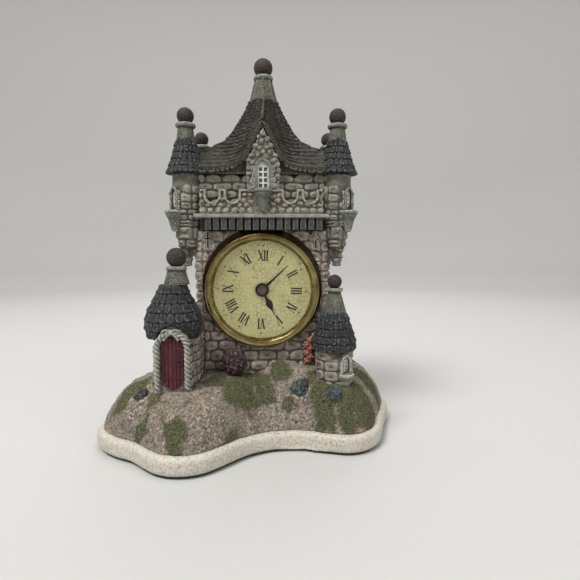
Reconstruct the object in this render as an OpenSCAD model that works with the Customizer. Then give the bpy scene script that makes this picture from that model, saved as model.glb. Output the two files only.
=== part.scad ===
// Castle mantel clock: a painted resin castle on a hill, with a push-in quartz clock in its front.
// Millimetres. +Z is up and the front faces -Y. The origin lies under the felt, below the hands.

/* [Base] */
// Reach of the plinth to the left of the hand axis
base_left = 94.5; // [92:0.5:100]
// Reach of the plinth to the right of the hand axis
base_right = 83; // [80:0.5:90]
// Reach of the plinth to the front
base_front = 96; // [93:0.5:102]
// Reach of the plinth to the back
base_back = 47; // [45:0.5:52]
// Thickness of the felt
felt_t = 1.5; // [1:0.1:2.5]
// Distance of the felt's edge inside the plinth's edge
felt_inset = 2; // [1:0.1:4]
// Height of the plinth
plinth_h = 9.5; // [7:0.5:12]
// Rounding of the plinth's upper edge
plinth_round = 2.6; // [1.5:0.1:3.4]
// Rounding of the plinth's lower edge
plinth_chamfer = 1.2; // [0.6:0.1:1.6]
// Distance of the hill's foot inside the plinth's edge
hill_inset = 3.6; // [3.5:0.1:5]
// Height of the hill's shoulder above the plinth
hill_h = 25.5; // [22:0.5:30]
// Extra height of the hill against the front wall
hill_rise = 9; // [7:0.5:11]

/* [Tower] */
// Width of the tower's shaft
tower_w = 84; // [82:0.5:86]
// Depth of the tower's shaft
tower_d = 62; // [60:0.5:64]
// Rounding of the shaft's corners
tower_r = 5; // [3:0.5:6]
// Height of the wall under the clock's recess
wall_below = 21.3; // [20.5:0.1:23]
// Depth of the seats that the castle's pieces stand in
seat_depth = 5; // [3:0.5:7]
// Height of the corbel table under the ledge
corbel_h = 7.3; // [6:0.1:9]
// Thickness of the ledge
ledge_t = 2.2; // [1.5:0.1:3]
// Reach of the ledge in front of the shaft
ledge_out = 6.2; // [5.6:0.1:7]
// Height of the upper storey's wall
storey_h = 24.5; // [22:0.5:27]
// Height of the battlement
parapet_h = 14.5; // [13:0.5:16]
// Reach of the battlement in front of the shaft
parapet_out = 5.2; // [4.4:0.1:5.6]
// Width of a notch in the battlement
notch_w = 7.6; // [6:0.1:8.5]
// Depth of a notch in the battlement
notch_h = 7.6; // [6:0.1:8.5]

/* [Corner turrets] */
// Distance between the turrets, side to side
turret_span_x = 92.6; // [91:0.2:94]
// Distance between the turrets, front to back
turret_span_y = 54; // [52:0.2:56]
// Radius of a turret's wall
turret_r = 9.5; // [8.5:0.1:10]
// Radius of a turret's eave
turret_eave_r = 12.6; // [11.5:0.1:13.4]
// Height of a turret's tiled roof
turret_roof_h = 20.3; // [18:0.1:23]
// Height of a turret's lead cap
turret_cap_h = 7.6; // [6:0.1:9]
// Radius of a turret's ball
turret_ball_r = 5.1; // [4.4:0.1:5.6]

/* [Main roof] */
// Height of the roof from its eave to the foot of the spire's lead cap
roof_h = 50.5; // [48:0.5:56]
// Height of the spire's lead cap
spire_cap_h = 15.5; // [12:0.5:18]
// Radius of the spire's ball
spire_ball_r = 6.2; // [5.4:0.1:7]
// Width of the gable's wall
gable_w = 19.2; // [18:0.2:21]
// Height of the gable's tip above the eave
gable_h = 26; // [24:0.5:27]

/* [Porch] */
// Distance of the porch's axis outside the tower's left side
porch_side = 7.4; // [7:0.1:8.4]
// Distance of the porch in front of the tower's middle
porch_y = 50; // [49:0.5:52]
// Radius of the porch's wall
porch_r = 12.6; // [12:0.1:13.2]
// Radius of the porch's roof at its widest
porch_roof_r = 15.9; // [15:0.1:16]
// Height of the porch's wall above the door's own height
porch_wall_more = 0.7; // [0.2:0.1:1.4]
// Height of the porch's tiled roof
porch_roof_h = 30.2; // [28:0.2:32]
// Height of the porch's lead cap
porch_cap_h = 8; // [7:0.1:9]
// Radius of the porch's ball
porch_ball_r = 5.6; // [5:0.1:6.2]
// Width of the door
door_w = 13.2; // [12:0.1:14]
// Height of the door
door_h = 30.3; // [28.5:0.1:32]

/* [Garden turret] */
// Distance of the garden turret's axis outside the tower's right side
garden_side = 1; // [0.5:0.1:2]
// Distance of the garden turret in front of the tower's middle
garden_y = 46; // [45.6:0.1:48]
// Radius of the garden turret's wall
garden_r = 11; // [10.4:0.1:11.6]
// Radius of the garden turret's eave
garden_eave_r = 12.9; // [12.2:0.1:13.4]
// Height of the garden turret's wall above its seat
garden_wall_h = 22.7; // [21.5:0.1:24]
// Height of the garden turret's tiled roof
garden_roof_h = 21.3; // [19:0.1:24]
// Height of the garden turret's lead cap
garden_cap_h = 12.7; // [11:0.1:14]
// Radius of the garden turret's ball
garden_ball_r = 4.2; // [3.8:0.1:4.8]

/* [Clock] */
// Reach of the bezel past the bore behind it
bezel_lap = 4.7; // [4.4:0.1:5]
// Running clearance of the rubber band in the bore
band_gap = 0.06; // [0.03:0.01:0.09]
// Diameter of the bezel
bezel_d = 70; // [69:0.2:71]
// Depth of the bezel
bezel_h = 8; // [7.4:0.1:8.6]
// Depth of the recess that the bezel sits in
recess_h = 3; // [2:0.1:4]
// Depth of the movement's case behind the bezel
case_h = 14; // [13.8:0.1:18]
// Length of the minute hand
minute_l = 22; // [19:0.2:24]
// Length of the hour hand
hour_l = 18; // [15:0.2:20]
// Teeth of the cannon pinion, on the minute hand's arbor
cannon_teeth = 12; // [12]
// Teeth of the minute wheel
minute_teeth = 36; // [36]
// Teeth of the minute wheel's pinion
minute_pinion_teeth = 10; // [10]
// Teeth of the hour wheel
hour_teeth = 40; // [40]

/* [Hidden] */
$fn = 64;

// Overrun of a cut, and the gap between pieces that are cemented side by side
over = 1;
fit = 0.15;

// Heights of the castle's levels
plinth_z = felt_t;
hill_z = plinth_z + plinth_h;
shoulder_z = hill_z + hill_h;
seat_z = shoulder_z - seat_depth;
// The shaft holds the recess round the clock's bezel, and the bore behind it
recess_play = 1.9;
recess_lift = 1.7;
recess_bite = 2.1;
recess_r = bezel_d / 2 + recess_play;
bore_d = bezel_d - 2 * bezel_lap;
axis_z = seat_z + wall_below + recess_r - recess_lift;
shaft_h = wall_below + 2 * recess_r - recess_bite;
shaft_top = seat_z + shaft_h;
ledge_z = shaft_top + corbel_h;
storey_z = ledge_z + ledge_t;
eave_z = storey_z + storey_h;

// Plan sizes of the castle
half_w = tower_w / 2;
half_d = tower_d / 2;
porch_x = half_w + porch_side;
garden_x = half_w + garden_side;
porch_wall_h = door_h + porch_wall_more;
storey_grow = 1;
storey_half_w = half_w + 2 * storey_grow;
storey_half_d = half_d + storey_grow;
turret_x = turret_span_x / 2;
turret_y = turret_span_y / 2;

function mix(a, b, t) = a + (b - a) * t;
// Value at t, from 0 to 1, in a table of evenly spaced values
function along(table, t) =
    let (n = len(table) - 1, u = max(0, min(1, t)), i = min(n - 1, floor(u * n)))
    mix(table[i], table[i + 1], u * n - i);
function total(v, i = 0) = i < len(v) ? v[i] + total(v, i + 1) : 0;
// Point at t between b and c on a smooth curve through a, b, c and d
function smooth_point(a, b, c, d, t) =
    b + t * ((c - a) + t * ((2 * a - 5 * b + 4 * c - d) + t * (3 * b - a - 3 * c + d))) / 2;
function ring_at(points, z) = [for (p = points) [p[0], p[1], z]];

// A closed skin over rings that go up from a flat floor: each ring has as many points, turning left
module ringed_solid(rings) {
    count = len(rings[0]);
    last = len(rings) - 1;
    top = rings[last];
    centre = [for (k = [0:2]) total([for (p = top) p[k]]) / count];
    sides = [for (r = [0:last - 1], i = [0:count - 1])
        let (j = (i + 1) % count, a = r * count + i, b = r * count + j)
        each [[a, b + count, b], [a, a + count, b + count]]];
    lid = [for (i = [0:count - 1]) [last * count + (i + 1) % count, last * count + i, (last + 1) * count]];
    polyhedron(points = concat([for (r = rings) each r], [centre]),
        faces = concat([[for (i = [0:count - 1]) i]], sides, lid), convexity = 6);
}

module rounded_rect(w, d, r) {
    square([w - 2 * r, d], center = true);
    square([w, d - 2 * r], center = true);
    for (x = [-1, 1], y = [-1, 1])
        translate([x * (w / 2 - r), y * (d / 2 - r)]) circle(r);
}

// A flat arch that stands on the X axis: straight jambs, then two arcs that meet at the crown
module arch(w, h, rise) {
    half = w / 2;
    r = (half * half + rise * rise) / w;
    translate([-half, 0]) square([w, h - rise]);
    translate([0, h - rise]) intersection() {
        translate([half - r, 0]) circle(r);
        translate([r - half, 0]) circle(r);
        translate([-half, 0]) square([w, rise + half]);
    }
}

// Stands a flat outline up: its Y becomes height, and it runs to the back from y
module upright(y, thickness) {
    translate([0, y + thickness, 0]) rotate([90, 0, 0]) linear_extrude(thickness) children();
}

module at_turrets() {
    for (x = [-1, 1], y = [-1, 1]) translate([x * turret_x, y * turret_y, 0]) children();
}

// At each corner turret, with -Y turned to face out across the corner
module at_corners() {
    for (x = [-1, 1], y = [-1, 1])
        translate([x * turret_x, y * turret_y, 0])
            rotate([0, 0, y < 0 ? x * corner_turn : 180 - x * corner_turn]) children();
}
corner_turn = 45;

// Courses of tiles in a turned outline: each course hangs over the one below
module tiled_roof(radii, h, courses, lip) {
    outline = concat([[0, 0]], [for (i = [0:courses - 1]) each [
        [along(radii, i / courses) + (i > 0 ? lip : 0), h * i / courses],
        [along(radii, (i + 1) / courses), h * (i + 1) / courses]]], [[0, h]]);
    rotate_extrude() polygon(outline);
}

// A lead cap, wider at its foot, with a round collar on top
module lead_cap(r_low, r_high, h, collar_r, collar_t) {
    cylinder(r1 = r_low, r2 = r_high, h = h);
    translate([0, 0, h]) rotate_extrude() {
        square([collar_r - collar_t / 2, collar_t]);
        translate([collar_r - collar_t / 2, collar_t / 2]) circle(collar_t / 2);
    }
}

// A ball that stands on a small flat foot
module seated_ball(r) {
    sink = r * ball_sink_share;
    intersection() {
        translate([0, 0, r - sink]) sphere(r);
        translate([-r, -r, 0]) cube([2 * r, 2 * r, 2 * r]);
    }
}
ball_sink_share = 0.12;

// A leaded window: a pointed plate with its panes cut through, standing on the X axis
module lattice(w, h, rise, columns, rows, bar, thickness) {
    pane_w = (w - bar * (columns + 1)) / columns;
    pane_h = (h - rise * lattice_crown_share - bar * (rows + 1)) / rows;
    color("ivory") upright(-thickness, thickness) difference() {
        arch(w, h, rise);
        for (i = [0:columns - 1], j = [0:rows - 1])
            translate([-w / 2 + bar + i * (pane_w + bar), bar + j * (pane_h + bar)])
                square([pane_w, pane_h]);
    }
}
lattice_crown_share = 0.55;

// A window's raised surround, standing on the X axis, its back at Y zero
module surround(w, h, rise, border, thickness) {
    upright(-thickness, thickness) difference() {
        arch(w + 2 * border, h + border, rise + border);
        translate([0, -over]) arch(w, h + over, rise);
    }
}

// A half-round sill that hangs below the X axis, in front of Y zero
module sill(r, thickness) {
    translate([0, 0, -thickness]) intersection() {
        cylinder(r = r, h = thickness);
        translate([-r, -r, 0]) cube([2 * r, r, thickness]);
    }
}

// A bowl that carries a sill: its rim at Z zero, its foot h below
module bowl(r, h) {
    translate([0, 0, -h]) rotate_extrude() polygon([
        [0, 0], [r * bowl_foot_share, 0], [r * bowl_waist_share, h * bowl_waist_share],
        [r * bowl_rim_share, h * bowl_rim_share], [r * bowl_rim_share, h], [0, h]]);
}
bowl_foot_share = 0.32;
bowl_waist_share = 0.66;
bowl_rim_share = 0.92;

// The wavy edge of the base, as shares of its reach on each side, from the left round the front

edge_shares = [
    [-1.00, -0.56], [-0.93, -0.68], [-0.83, -0.765], [-0.715, -0.825], [-0.62, -0.91], [-0.54, -0.97],
    [-0.45, -1.00], [-0.35, -0.995], [-0.26, -0.955], [-0.166, -0.867], [-0.067, -0.77], [0.05, -0.71],
    [0.18, -0.683], [0.295, -0.683], [0.417, -0.72], [0.57, -0.755], [0.706, -0.724], [0.807, -0.635],
    [0.86, -0.52], [0.93, -0.33], [1.00, -0.15], [0.98, 0.14], [0.92, 0.45], [0.80, 0.72],
    [0.60, 0.90], [0.36, 0.98], [0.06, 0.96], [-0.21, 1.00], [-0.476, 0.96], [-0.69, 0.81],
    [-0.825, 0.51], [-0.89, 0.13], [-0.93, -0.15], [-0.985, -0.365]];
edge_steps = 3;
edge_points = [for (s = edge_shares)
    [s[0] * (s[0] < 0 ? base_left : base_right), s[1] * (s[1] < 0 ? base_front : base_back)]];
edge = [for (i = [0:len(edge_points) - 1], k = [0:edge_steps - 1])
    let (n = len(edge_points), p = edge_points)
    smooth_point(p[(i + n - 1) % n], p[i], p[(i + 1) % n], p[(i + 2) % n], k / edge_steps)];

// The edge moved inwards by d
function inset_edge(d) = [for (i = [0:len(edge) - 1])
    let (n = len(edge), run = edge[(i + 1) % n] - edge[(i + n - 1) % n], t = run / norm(run))
    edge[i] + d * [-t[1], t[0]]];

module felt_pad() {
    color("darkslategray") linear_extrude(felt_t) polygon(inset_edge(felt_inset));
}

// Rings of the plinth's rounded edge: shares of the rounding, inwards and upwards
plinth_round_shares = [[0, 0], [0.13, 0.5], [0.5, 0.87], [1, 1]];

module plinth() {
    color("antiquewhite") ringed_solid(concat(
        [ring_at(inset_edge(plinth_chamfer), plinth_z), ring_at(inset_edge(0), plinth_z + plinth_chamfer)],
        [for (s = plinth_round_shares)
            ring_at(inset_edge(plinth_round * s[0]), hill_z - plinth_round * (1 - s[1]))]));
}

// The hill draws in towards its middle in rings, each a share of its reach and a share of its height
hill_ring_shares = [[1, 0], [0.985, 0.17], [0.96, 0.37], [0.925, 0.57], [0.88, 0.76], [0.82, 0.9],
    [0.74, 0.97], [0.62, 1], [0.46, 1], [0.3, 1]];
hill_middle_share = 0.045;
hill_middle = [-base_left, -3 * base_front] * hill_middle_share;
hill_lump_share = 0.04;
hill_lumps = 6;
hill_slope_turn = -80;
hill_slope_share = 0.62;
hill_rise_turn = -48;
hill_fan = 10;

function toward(angle, turn) = pow(max(0, cos(angle - turn)), hill_fan);
function hill_point(p, s) =
    let (v = p - hill_middle, angle = atan2(v[1], v[0]), q = hill_middle + v * s[0],
        even = (1 - s[0]) / (1 - hill_ring_shares[9][0]),
        share = mix(s[1], even, hill_slope_share * toward(angle, hill_slope_turn)),
        lump = hill_lump_share * sin(hill_lumps * angle + 400 * s[0]) * share,
        rise = hill_rise * toward(angle, hill_rise_turn) * even)
    [q[0], q[1], hill_z + hill_h * (share + lump) + rise];

module hill() {
    up = 2 * hill_h;
    color("tan") difference() {
        ringed_solid([for (s = hill_ring_shares) [for (p = inset_edge(hill_inset)) hill_point(p, s)]]);
        translate([0, 0, seat_z]) linear_extrude(up)
            rounded_rect(tower_w + 2 * fit, tower_d + 2 * fit, tower_r + fit);
        translate([-porch_x, -porch_y, seat_z]) cylinder(r = porch_r + fit, h = up);
        translate([-porch_x + porch_lean - portal_w / 2 - fit, -porch_y - portal_out - fit, seat_z])
            cube([portal_w + 2 * fit, portal_out, up]);
        neck(-1, -porch_y, up, fit);
        translate([garden_x, -garden_y, seat_z]) cylinder(r = garden_r + fit, h = up);
        neck(1, -garden_y, up, fit);
        for (s = shrub_table) translate([s[0], s[1], s[3]]) cylinder(r = s[2] + 2 * fit, h = up);
        at_garden_window() translate([0, 0, -sill_t - garden_bowl_h - fit])
            cylinder(r = garden_sill_r + fit, h = up);
        translate([rose_x, rose_y, rose_z]) cylinder(r = rose_r + rose_spread + 2 * fit, h = up);
    }
}

// The clock's axis runs from front to back through the tower, in a bore behind its recess
recess_y = -half_d + recess_h;

module along_axis(y) {
    translate([0, y, axis_z]) rotate([-90, 0, 0]) children();
}

module tower_block(grow, z, h) {
    translate([0, 0, z]) linear_extrude(h)
        rounded_rect(tower_w + 2 * grow, tower_d + 2 * grow, tower_r + grow);
}

// Rubble: level beds cut round a wall, and upright joints between them that shift from course to course
joint_w = 0.9;
joint_depth = 0.8;
stone_run = 10.6;
shaft_courses = 15;
storey_courses = 5;
joint_place_shares = [0.3, 0.72, 0.05, 0.5, 0.88, 0.22, 0.64, 0.4, 0.95, 0.12];

function joint_places(run, row) =
    let (count = max(1, round(run / stone_run)))
    [for (i = [0:count - 1]) run / count * (i + 0.25 + 0.5 * (row % 2)
        + 0.4 * (joint_place_shares[(3 * i + 7 * row) % 10] - 0.5)) - run / 2];

module course_outline(w, d, r, row) {
    difference() {
        rounded_rect(w, d, r);
        for (x = joint_places(w - 2 * r, row), s = [-1, 1])
            translate([-s * x - joint_w / 2, s * d / 2 - joint_depth]) square([joint_w, 2 * joint_depth]);
        for (y = joint_places(d - 2 * r, row), s = [-1, 1])
            translate([s * w / 2 - joint_depth, s * y - joint_w / 2]) square([2 * joint_depth, joint_w]);
    }
}

module coursed_block(w, d, r, z, h, courses) {
    rise = h / courses;
    for (row = [0:courses - 1]) {
        last = row == courses - 1;
        translate([0, 0, z + row * rise]) linear_extrude(last ? rise : rise - joint_w)
            course_outline(w, d, r, row);
        if (!last) translate([0, 0, z + (row + 1) * rise - joint_w]) linear_extrude(joint_w)
            rounded_rect(w - 2 * joint_depth, d - 2 * joint_depth, r - joint_depth);
    }
}

module coursed_round(r, h, courses) {
    rotate_extrude() polygon(concat([[0, 0], [r, 0]],
        [for (row = [1:courses - 1]) let (z = h * row / courses)
            each [[r, z - joint_w / 2], [r - joint_depth, z], [r, z + joint_w / 2]]],
        [[r, h], [0, h]]));
}

module tower_shaft() {
    color("rosybrown") difference() {
        coursed_block(tower_w, tower_d, tower_r, seat_z, shaft_h, shaft_courses);
        along_axis(-half_d - over) cylinder(d = bore_d, h = tower_d + 2 * over);
        translate([0, 0, recess_lift]) along_axis(-half_d - over)
            cylinder(r = recess_r, h = recess_h + over);
    }
}

// Room that the corner turrets take out of the storey and its ledges
module turret_room(z, h) {
    at_turrets() translate([0, 0, z]) cylinder(r = turret_r + fit, h = h);
}

corbels = 15;
side_corbels = 7;
corbel_share = 0.76;
corbel_margin = 1;
ledge_end_share = 0.6;

module string_course() {
    ledge_half_w = storey_half_w + ledge_out - 3 * storey_grow;
    ledge_half_d = half_d + ledge_out;
    end = turret_r * ledge_end_share;
    run = 2 * (turret_x - turret_r - corbel_margin);
    pitch = run / corbels;
    side_run = 2 * (turret_y - turret_r - corbel_margin);
    side_pitch = side_run / side_corbels;
    color("slategray") difference() {
        union() {
            translate([-half_w, -half_d, shaft_top]) cube([tower_w, tower_d, corbel_h]);
            translate([-turret_x + end, -ledge_half_d, ledge_z])
                cube([2 * (turret_x - end), 2 * ledge_half_d, ledge_t]);
            translate([-ledge_half_w, -turret_y + end, ledge_z])
                cube([2 * ledge_half_w, 2 * (turret_y - end), ledge_t]);
            for (i = [0:corbels - 1])
                translate([-run / 2 + (i + corbel_share / 2) * pitch, corbel_margin - ledge_half_d,
                    shaft_top])
                    cube([pitch * corbel_share, 2 * (ledge_half_d - corbel_margin), corbel_h]);
            for (i = [0:side_corbels - 1])
                translate([corbel_margin - ledge_half_w, -side_run / 2 + (i + corbel_share / 2) * side_pitch,
                    shaft_top])
                    cube([2 * (ledge_half_w - corbel_margin), side_pitch * corbel_share, corbel_h]);
        }
        turret_room(shaft_top - over, corbel_h + ledge_t + 2 * over);
    }
}

module upper_storey() {
    color("rosybrown") difference() {
        coursed_block(2 * storey_half_w, 2 * storey_half_d, tower_r, storey_z, storey_h, storey_courses);
        turret_room(storey_z - over, storey_h + 2 * over);
    }
}

// Battlement: a low wall in front of the storey, its notches edged with a round moulding
notch_place_shares = [-0.8, -0.47, 0.47, 0.8];
bead_w = 1.3;
bead_out = 0.9;

module notches(run, grow) {
    r = notch_w / 2 + grow;
    for (s = notch_place_shares) translate([s * run, parapet_h - notch_h + notch_w / 2]) {
        translate([-r, 0]) square([2 * r, notch_h]);
        circle(r);
    }
}

module battlement() {
    front_y = half_d + parapet_out;
    run = turret_x - turret_r - fit;
    side_x = storey_half_w + parapet_out - 2 * storey_grow;
    side_run = turret_y - turret_r - fit;
    color("gray") for (turn = [0, 180]) rotate([0, 0, turn]) translate([0, 0, storey_z]) {
        upright(-front_y, front_y - storey_half_d) difference() {
            translate([-run, 0]) square([2 * run, parapet_h]);
            notches(run, 0);
        }
        upright(-front_y - bead_out, bead_out) difference() {
            union() {
                translate([-run, parapet_h - bead_w]) square([2 * run, bead_w]);
                intersection() {
                    notches(run, bead_w);
                    translate([-run, 0]) square([2 * run, parapet_h]);
                }
            }
            notches(run, 0);
        }
        translate([storey_half_w, -side_run, 0]) cube([side_x - storey_half_w, 2 * side_run, parapet_h]);
    }
}

// Gable over the front window
gable_shift = 1;
gable_out = parapet_out + bead_out;
gable_y = -half_d - gable_out;
gable_z = storey_z + parapet_h;
gable_eave_share = 0.24;
gable_tip_z = eave_z + gable_h;
gable_slope = 2 * gable_h * (1 - gable_eave_share) / gable_w;
window_w = 6.8;
window_h = 16.6;
window_rise = 5;
window_depth = 1.6;
window_gap = 0.1;
frame_w = 1.8;
frame_out = 1.1;
lattice_t = 0.8;
lattice_bar = 0.9;
sill_r = 5.6;
sill_t = 1.6;
gable_bowl_h = 11.5;

module gable_shape(grow) {
    w = gable_w / 2 + grow;
    low = eave_z + gable_h * gable_eave_share + grow;
    polygon([[-w, gable_z - grow], [w, gable_z - grow], [w, low], [0, gable_tip_z + 2 * grow], [-w, low]]);
}

module gable_wall() {
    color("gray") difference() {
        translate([gable_shift, 0, 0]) upright(gable_y, -storey_half_d - gable_y) gable_shape(0);
        translate([gable_shift, 0, gable_z]) upright(gable_y - over, over + window_depth)
            arch(window_w, window_h, window_rise);
    }
}

module gable_window_frame() {
    color("slategray") translate([gable_shift, gable_y, gable_z]) {
        surround(window_w, window_h, window_rise, frame_w, frame_out);
        sill(sill_r, sill_t);
        intersection() {
            translate([0, 0, -sill_t]) bowl(sill_r, gable_bowl_h);
            translate([-sill_r, -sill_r, -sill_t - gable_bowl_h]) cube([2 * sill_r, sill_r, gable_bowl_h]);
        }
    }
}

module gable_lattice() {
    translate([gable_shift, gable_y + window_depth, gable_z])
        lattice(window_w - 2 * window_gap, window_h - window_gap, window_rise - window_gap, 2, 4,
            lattice_bar, lattice_t);
}

// Main roof: hips sweep down from the spire to the turrets, and hollow slopes fall from them to the eaves.
// The tables give, for even steps along a hip, its height, its place front to back, and the eave's rise.
hip_height_shares = [1, 1, 0.845, 0.61, 0.465, 0.38, 0.345, 0.335, 0.345];
hip_bow_shares = [0, 0.2, 0.36, 0.5, 0.62, 0.73, 0.83, 0.92, 1];
eave_rise_shares = [0.3, 0.3, 0.26, 0.16, 0.1, 0.085, 0.08, 0.08, 0.08];
hip_bow_back = [for (i = [0:len(hip_bow_shares) - 1]) [hip_bow_shares[i], i / (len(hip_bow_shares) - 1)]];
roof_over = 4.5;
roof_side_over = 8;
roof_edge = 2;
verge_h = 5.5;
spire_r = 9.6;
front_hollow = 1.3;
side_hollow = 1.9;
roof_far_x = storey_half_w + roof_side_over;
roof_far_y = storey_half_d + roof_over;
roof_course_shares = [1, 0.93, 0.86, 0.78, 0.7, 0.62, 0.54, 0.46, 0.38, 0.3, 0.22, 0.14, 0.07, 0];
slate_lip = 1;
roof_front_steps = 10;
roof_side_steps = 6;
roof_step_power = 1.4;

function hip_z(s) = roof_h * along(hip_height_shares, s);
function hip_y(x) = turret_y * along(hip_bow_shares, abs(x) / turret_x);
function hip_share(y) = lookup(abs(y) / turret_y, hip_bow_back);
function circle_y(x) = sqrt(max(0, spire_r * spire_r - x * x));
function verge_z(x) = gable_h + verge_h - gable_slope * abs(x - gable_shift);
function eave_rise(x) = max(verge_z(x), gable_h * along(eave_rise_shares, abs(x) / turret_x));
function front_z(x, y) =
    let (from = max(hip_y(x), circle_y(x)), t = max(0, min(1, (abs(y) - from) / (roof_far_y - from))),
        low = y < 0 ? eave_rise(x) : roof_edge, fold = min(1, abs(x - gable_shift) / gable_w))
    mix(low, hip_z(abs(x) / turret_x), pow(1 - t, mix(1, front_hollow, y < 0 ? fold : 1)));
function side_z(x, y) =
    let (s = hip_share(y), from = max(turret_x * s, circle_y(y)),
        t = max(0, min(1, (abs(x) - from) / (roof_far_x - from))))
    mix(roof_edge, hip_z(s), pow(1 - t, side_hollow));
function roof_z(x, y) = abs(y) > hip_y(x) ? front_z(x, y) : side_z(x, y);

function signed_power(t, p) = sign(t) * pow(abs(t), p);
eave_line = concat(
    [for (i = [-roof_front_steps:roof_front_steps])
        [roof_far_x * signed_power(i / roof_front_steps, roof_step_power), -roof_far_y]],
    [for (i = [1 - roof_side_steps:roof_side_steps - 1]) [roof_far_x, roof_far_y * i / roof_side_steps]],
    [for (i = [-roof_front_steps:roof_front_steps])
        [-roof_far_x * signed_power(i / roof_front_steps, roof_step_power), roof_far_y]],
    [for (i = [1 - roof_side_steps:roof_side_steps - 1]) [-roof_far_x, -roof_far_y * i / roof_side_steps]]);
// A ring of the roof's skin; the lower edge of a course of slates stands proud of it by the lip
function roof_ring(share, lip) = [for (p = eave_line)
    let (u = p / norm(p), q = u * mix(spire_r, norm(p), share), out = u * lip / 2)
    [q[0] + out[0], q[1] + out[1], eave_z + roof_z(q[0], q[1]) + lip]];

// What is cut away under the front eave, where its edge rises towards the gable
swag_steps = 12;
function swag_low(x) = max(0, gable_h * along(eave_rise_shares, abs(x) / turret_x) - roof_edge);

module under_swag() {
    reach = turret_x - turret_r;
    upright(-roof_far_y - over, roof_far_y - storey_half_d + over)
        polygon(concat([[reach, eave_z - over], [-reach, eave_z - over]],
            [for (i = [-swag_steps:swag_steps]) let (x = reach * i / swag_steps)
                [x, eave_z + swag_low(x)]]));
}

module main_roof() {
    color("dimgray") difference() {
        ringed_solid(concat([ring_at(eave_line, eave_z)],
            [for (i = [1:len(roof_course_shares) - 1])
                each [roof_ring(roof_course_shares[i - 1], slate_lip),
                    roof_ring(roof_course_shares[i], 0)]]));
        under_swag();
        translate([gable_shift, 0, 0])
            upright(-roof_far_y - over, roof_far_y - storey_half_d + over + fit) gable_shape(fit);
        at_turrets() translate([0, 0, eave_z]) {
            hull() {
                translate([0, 0, -over]) roof_room(turret_eave_r);
                translate([0, 0, turret_roof_h]) roof_room(turret_cap_low_r);
            }
            hull() {
                translate([0, 0, turret_roof_h]) roof_room(turret_cap_low_r);
                translate([0, 0, roof_h]) roof_room(turret_cap_low_r);
            }
        }
    }
}

module roof_room(r) {
    cylinder(r = r + 3 * fit, h = fit, $fn = 32);
}

spire_cap_low_r = 9.9;
spire_cap_high_r = 5.9;
spire_collar_r = 6.6;
spire_collar_t = 2.6;

module spire_cap() {
    translate([0, 0, eave_z + roof_h]) color("slategray") {
        cylinder(r1 = spire_cap_low_r, r2 = spire_cap_high_r, h = spire_cap_h, $fn = 8);
        translate([0, 0, spire_cap_h]) lead_cap(spire_cap_high_r, spire_cap_high_r, fit,
            spire_collar_r, spire_collar_t);
    }
}

module spire_ball() {
    color("saddlebrown") translate([0, 0, eave_z + roof_h + spire_cap_h + fit + spire_collar_t])
        seated_ball(spire_ball_r);
}

// Corner turrets: a round wall that tapers to a stack of stones below, cut back where the tower stands
turret_wall_shares = [
    [0, 0], [0.23, 0], [0.36, 0.1], [0.5, 0.2], [0.56, 0.21], [0.64, 0.29], [0.7, 0.3], [0.75, 0.425],
    [0.69, 0.43], [0.76, 0.435], [0.83, 0.495], [0.77, 0.5], [0.84, 0.505], [0.92, 0.555], [0.86, 0.56],
    [0.93, 0.565], [1, 0.6], [1, 0.682], [0.92, 0.69], [1, 0.698], [1, 0.772], [0.92, 0.78], [1, 0.788],
    [1, 0.87], [0.86, 0.92], [0.9, 0.97], [0.98, 1], [0, 1]];
turret_wall_h = 56;
corner_window_w = 5;
corner_window_h = 13;
corner_window_rise = 3.6;
corner_frame_w = 1.3;
corner_sill_r = 5.8;
corner_bowl_h = 11;
corner_window_z = storey_z + ledge_t;
// Distance of a window's flat from the middle of a round wall
function flat_at(r, half) = sqrt(r * r - half * half);
corner_flat = flat_at(turret_r, corner_window_w / 2 + corner_frame_w);

module corner_turrets() {
    color("rosybrown") difference() {
        union() {
            at_turrets() translate([0, 0, eave_z - turret_wall_h]) rotate_extrude()
                polygon([for (s = turret_wall_shares) [s[0] * turret_r, s[1] * turret_wall_h]]);
            at_corners() translate([0, -corner_flat, corner_window_z - sill_t])
                bowl(corner_sill_r, corner_bowl_h);
        }
        tower_block(fit, eave_z - turret_wall_h - over, shaft_top - eave_z + turret_wall_h + over);
        at_corners() {
            translate([-turret_r, -2 * turret_r, corner_window_z])
                cube([2 * turret_r, 2 * turret_r - corner_flat, corner_window_h + corner_frame_w]);
            translate([-corner_sill_r - over, -corner_flat - corner_sill_r - over, corner_window_z - sill_t])
                cube([2 * (corner_sill_r + over), corner_sill_r + over, sill_t + over]);
            translate([0, 0, corner_window_z]) upright(-corner_flat - over, over + window_depth)
                arch(corner_window_w, corner_window_h, corner_window_rise);
        }
    }
}

module corner_window_frames() {
    color("slategray") at_corners() translate([0, -corner_flat, corner_window_z]) {
        surround(corner_window_w, corner_window_h, corner_window_rise, corner_frame_w, frame_out);
        sill(corner_sill_r, sill_t);
    }
}

module corner_lattices() {
    at_corners() translate([0, -corner_flat + window_depth, corner_window_z])
        lattice(corner_window_w - 2 * window_gap, corner_window_h - window_gap,
            corner_window_rise - window_gap, 2, 4, lattice_bar, lattice_t);
}

turret_roof_shares = [1, 0.87, 0.77, 0.69, 0.62, 0.56, 0.5, 0.44];
turret_cap_low_r = turret_eave_r * turret_roof_shares[7];
turret_cap_high_r = 4.6;
turret_collar_r = 6.2;
turret_collar_t = 2.5;
turret_courses = 5;
tile_lip = 0.6;

module corner_turret_roofs() {
    color("darkslategray") at_turrets() translate([0, 0, eave_z])
        tiled_roof(turret_roof_shares * turret_eave_r, turret_roof_h, turret_courses, tile_lip);
}

module corner_turret_caps() {
    color("slategray") at_turrets() translate([0, 0, eave_z + turret_roof_h])
        lead_cap(turret_cap_low_r, turret_cap_high_r, turret_cap_h, turret_collar_r, turret_collar_t);
}

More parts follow.
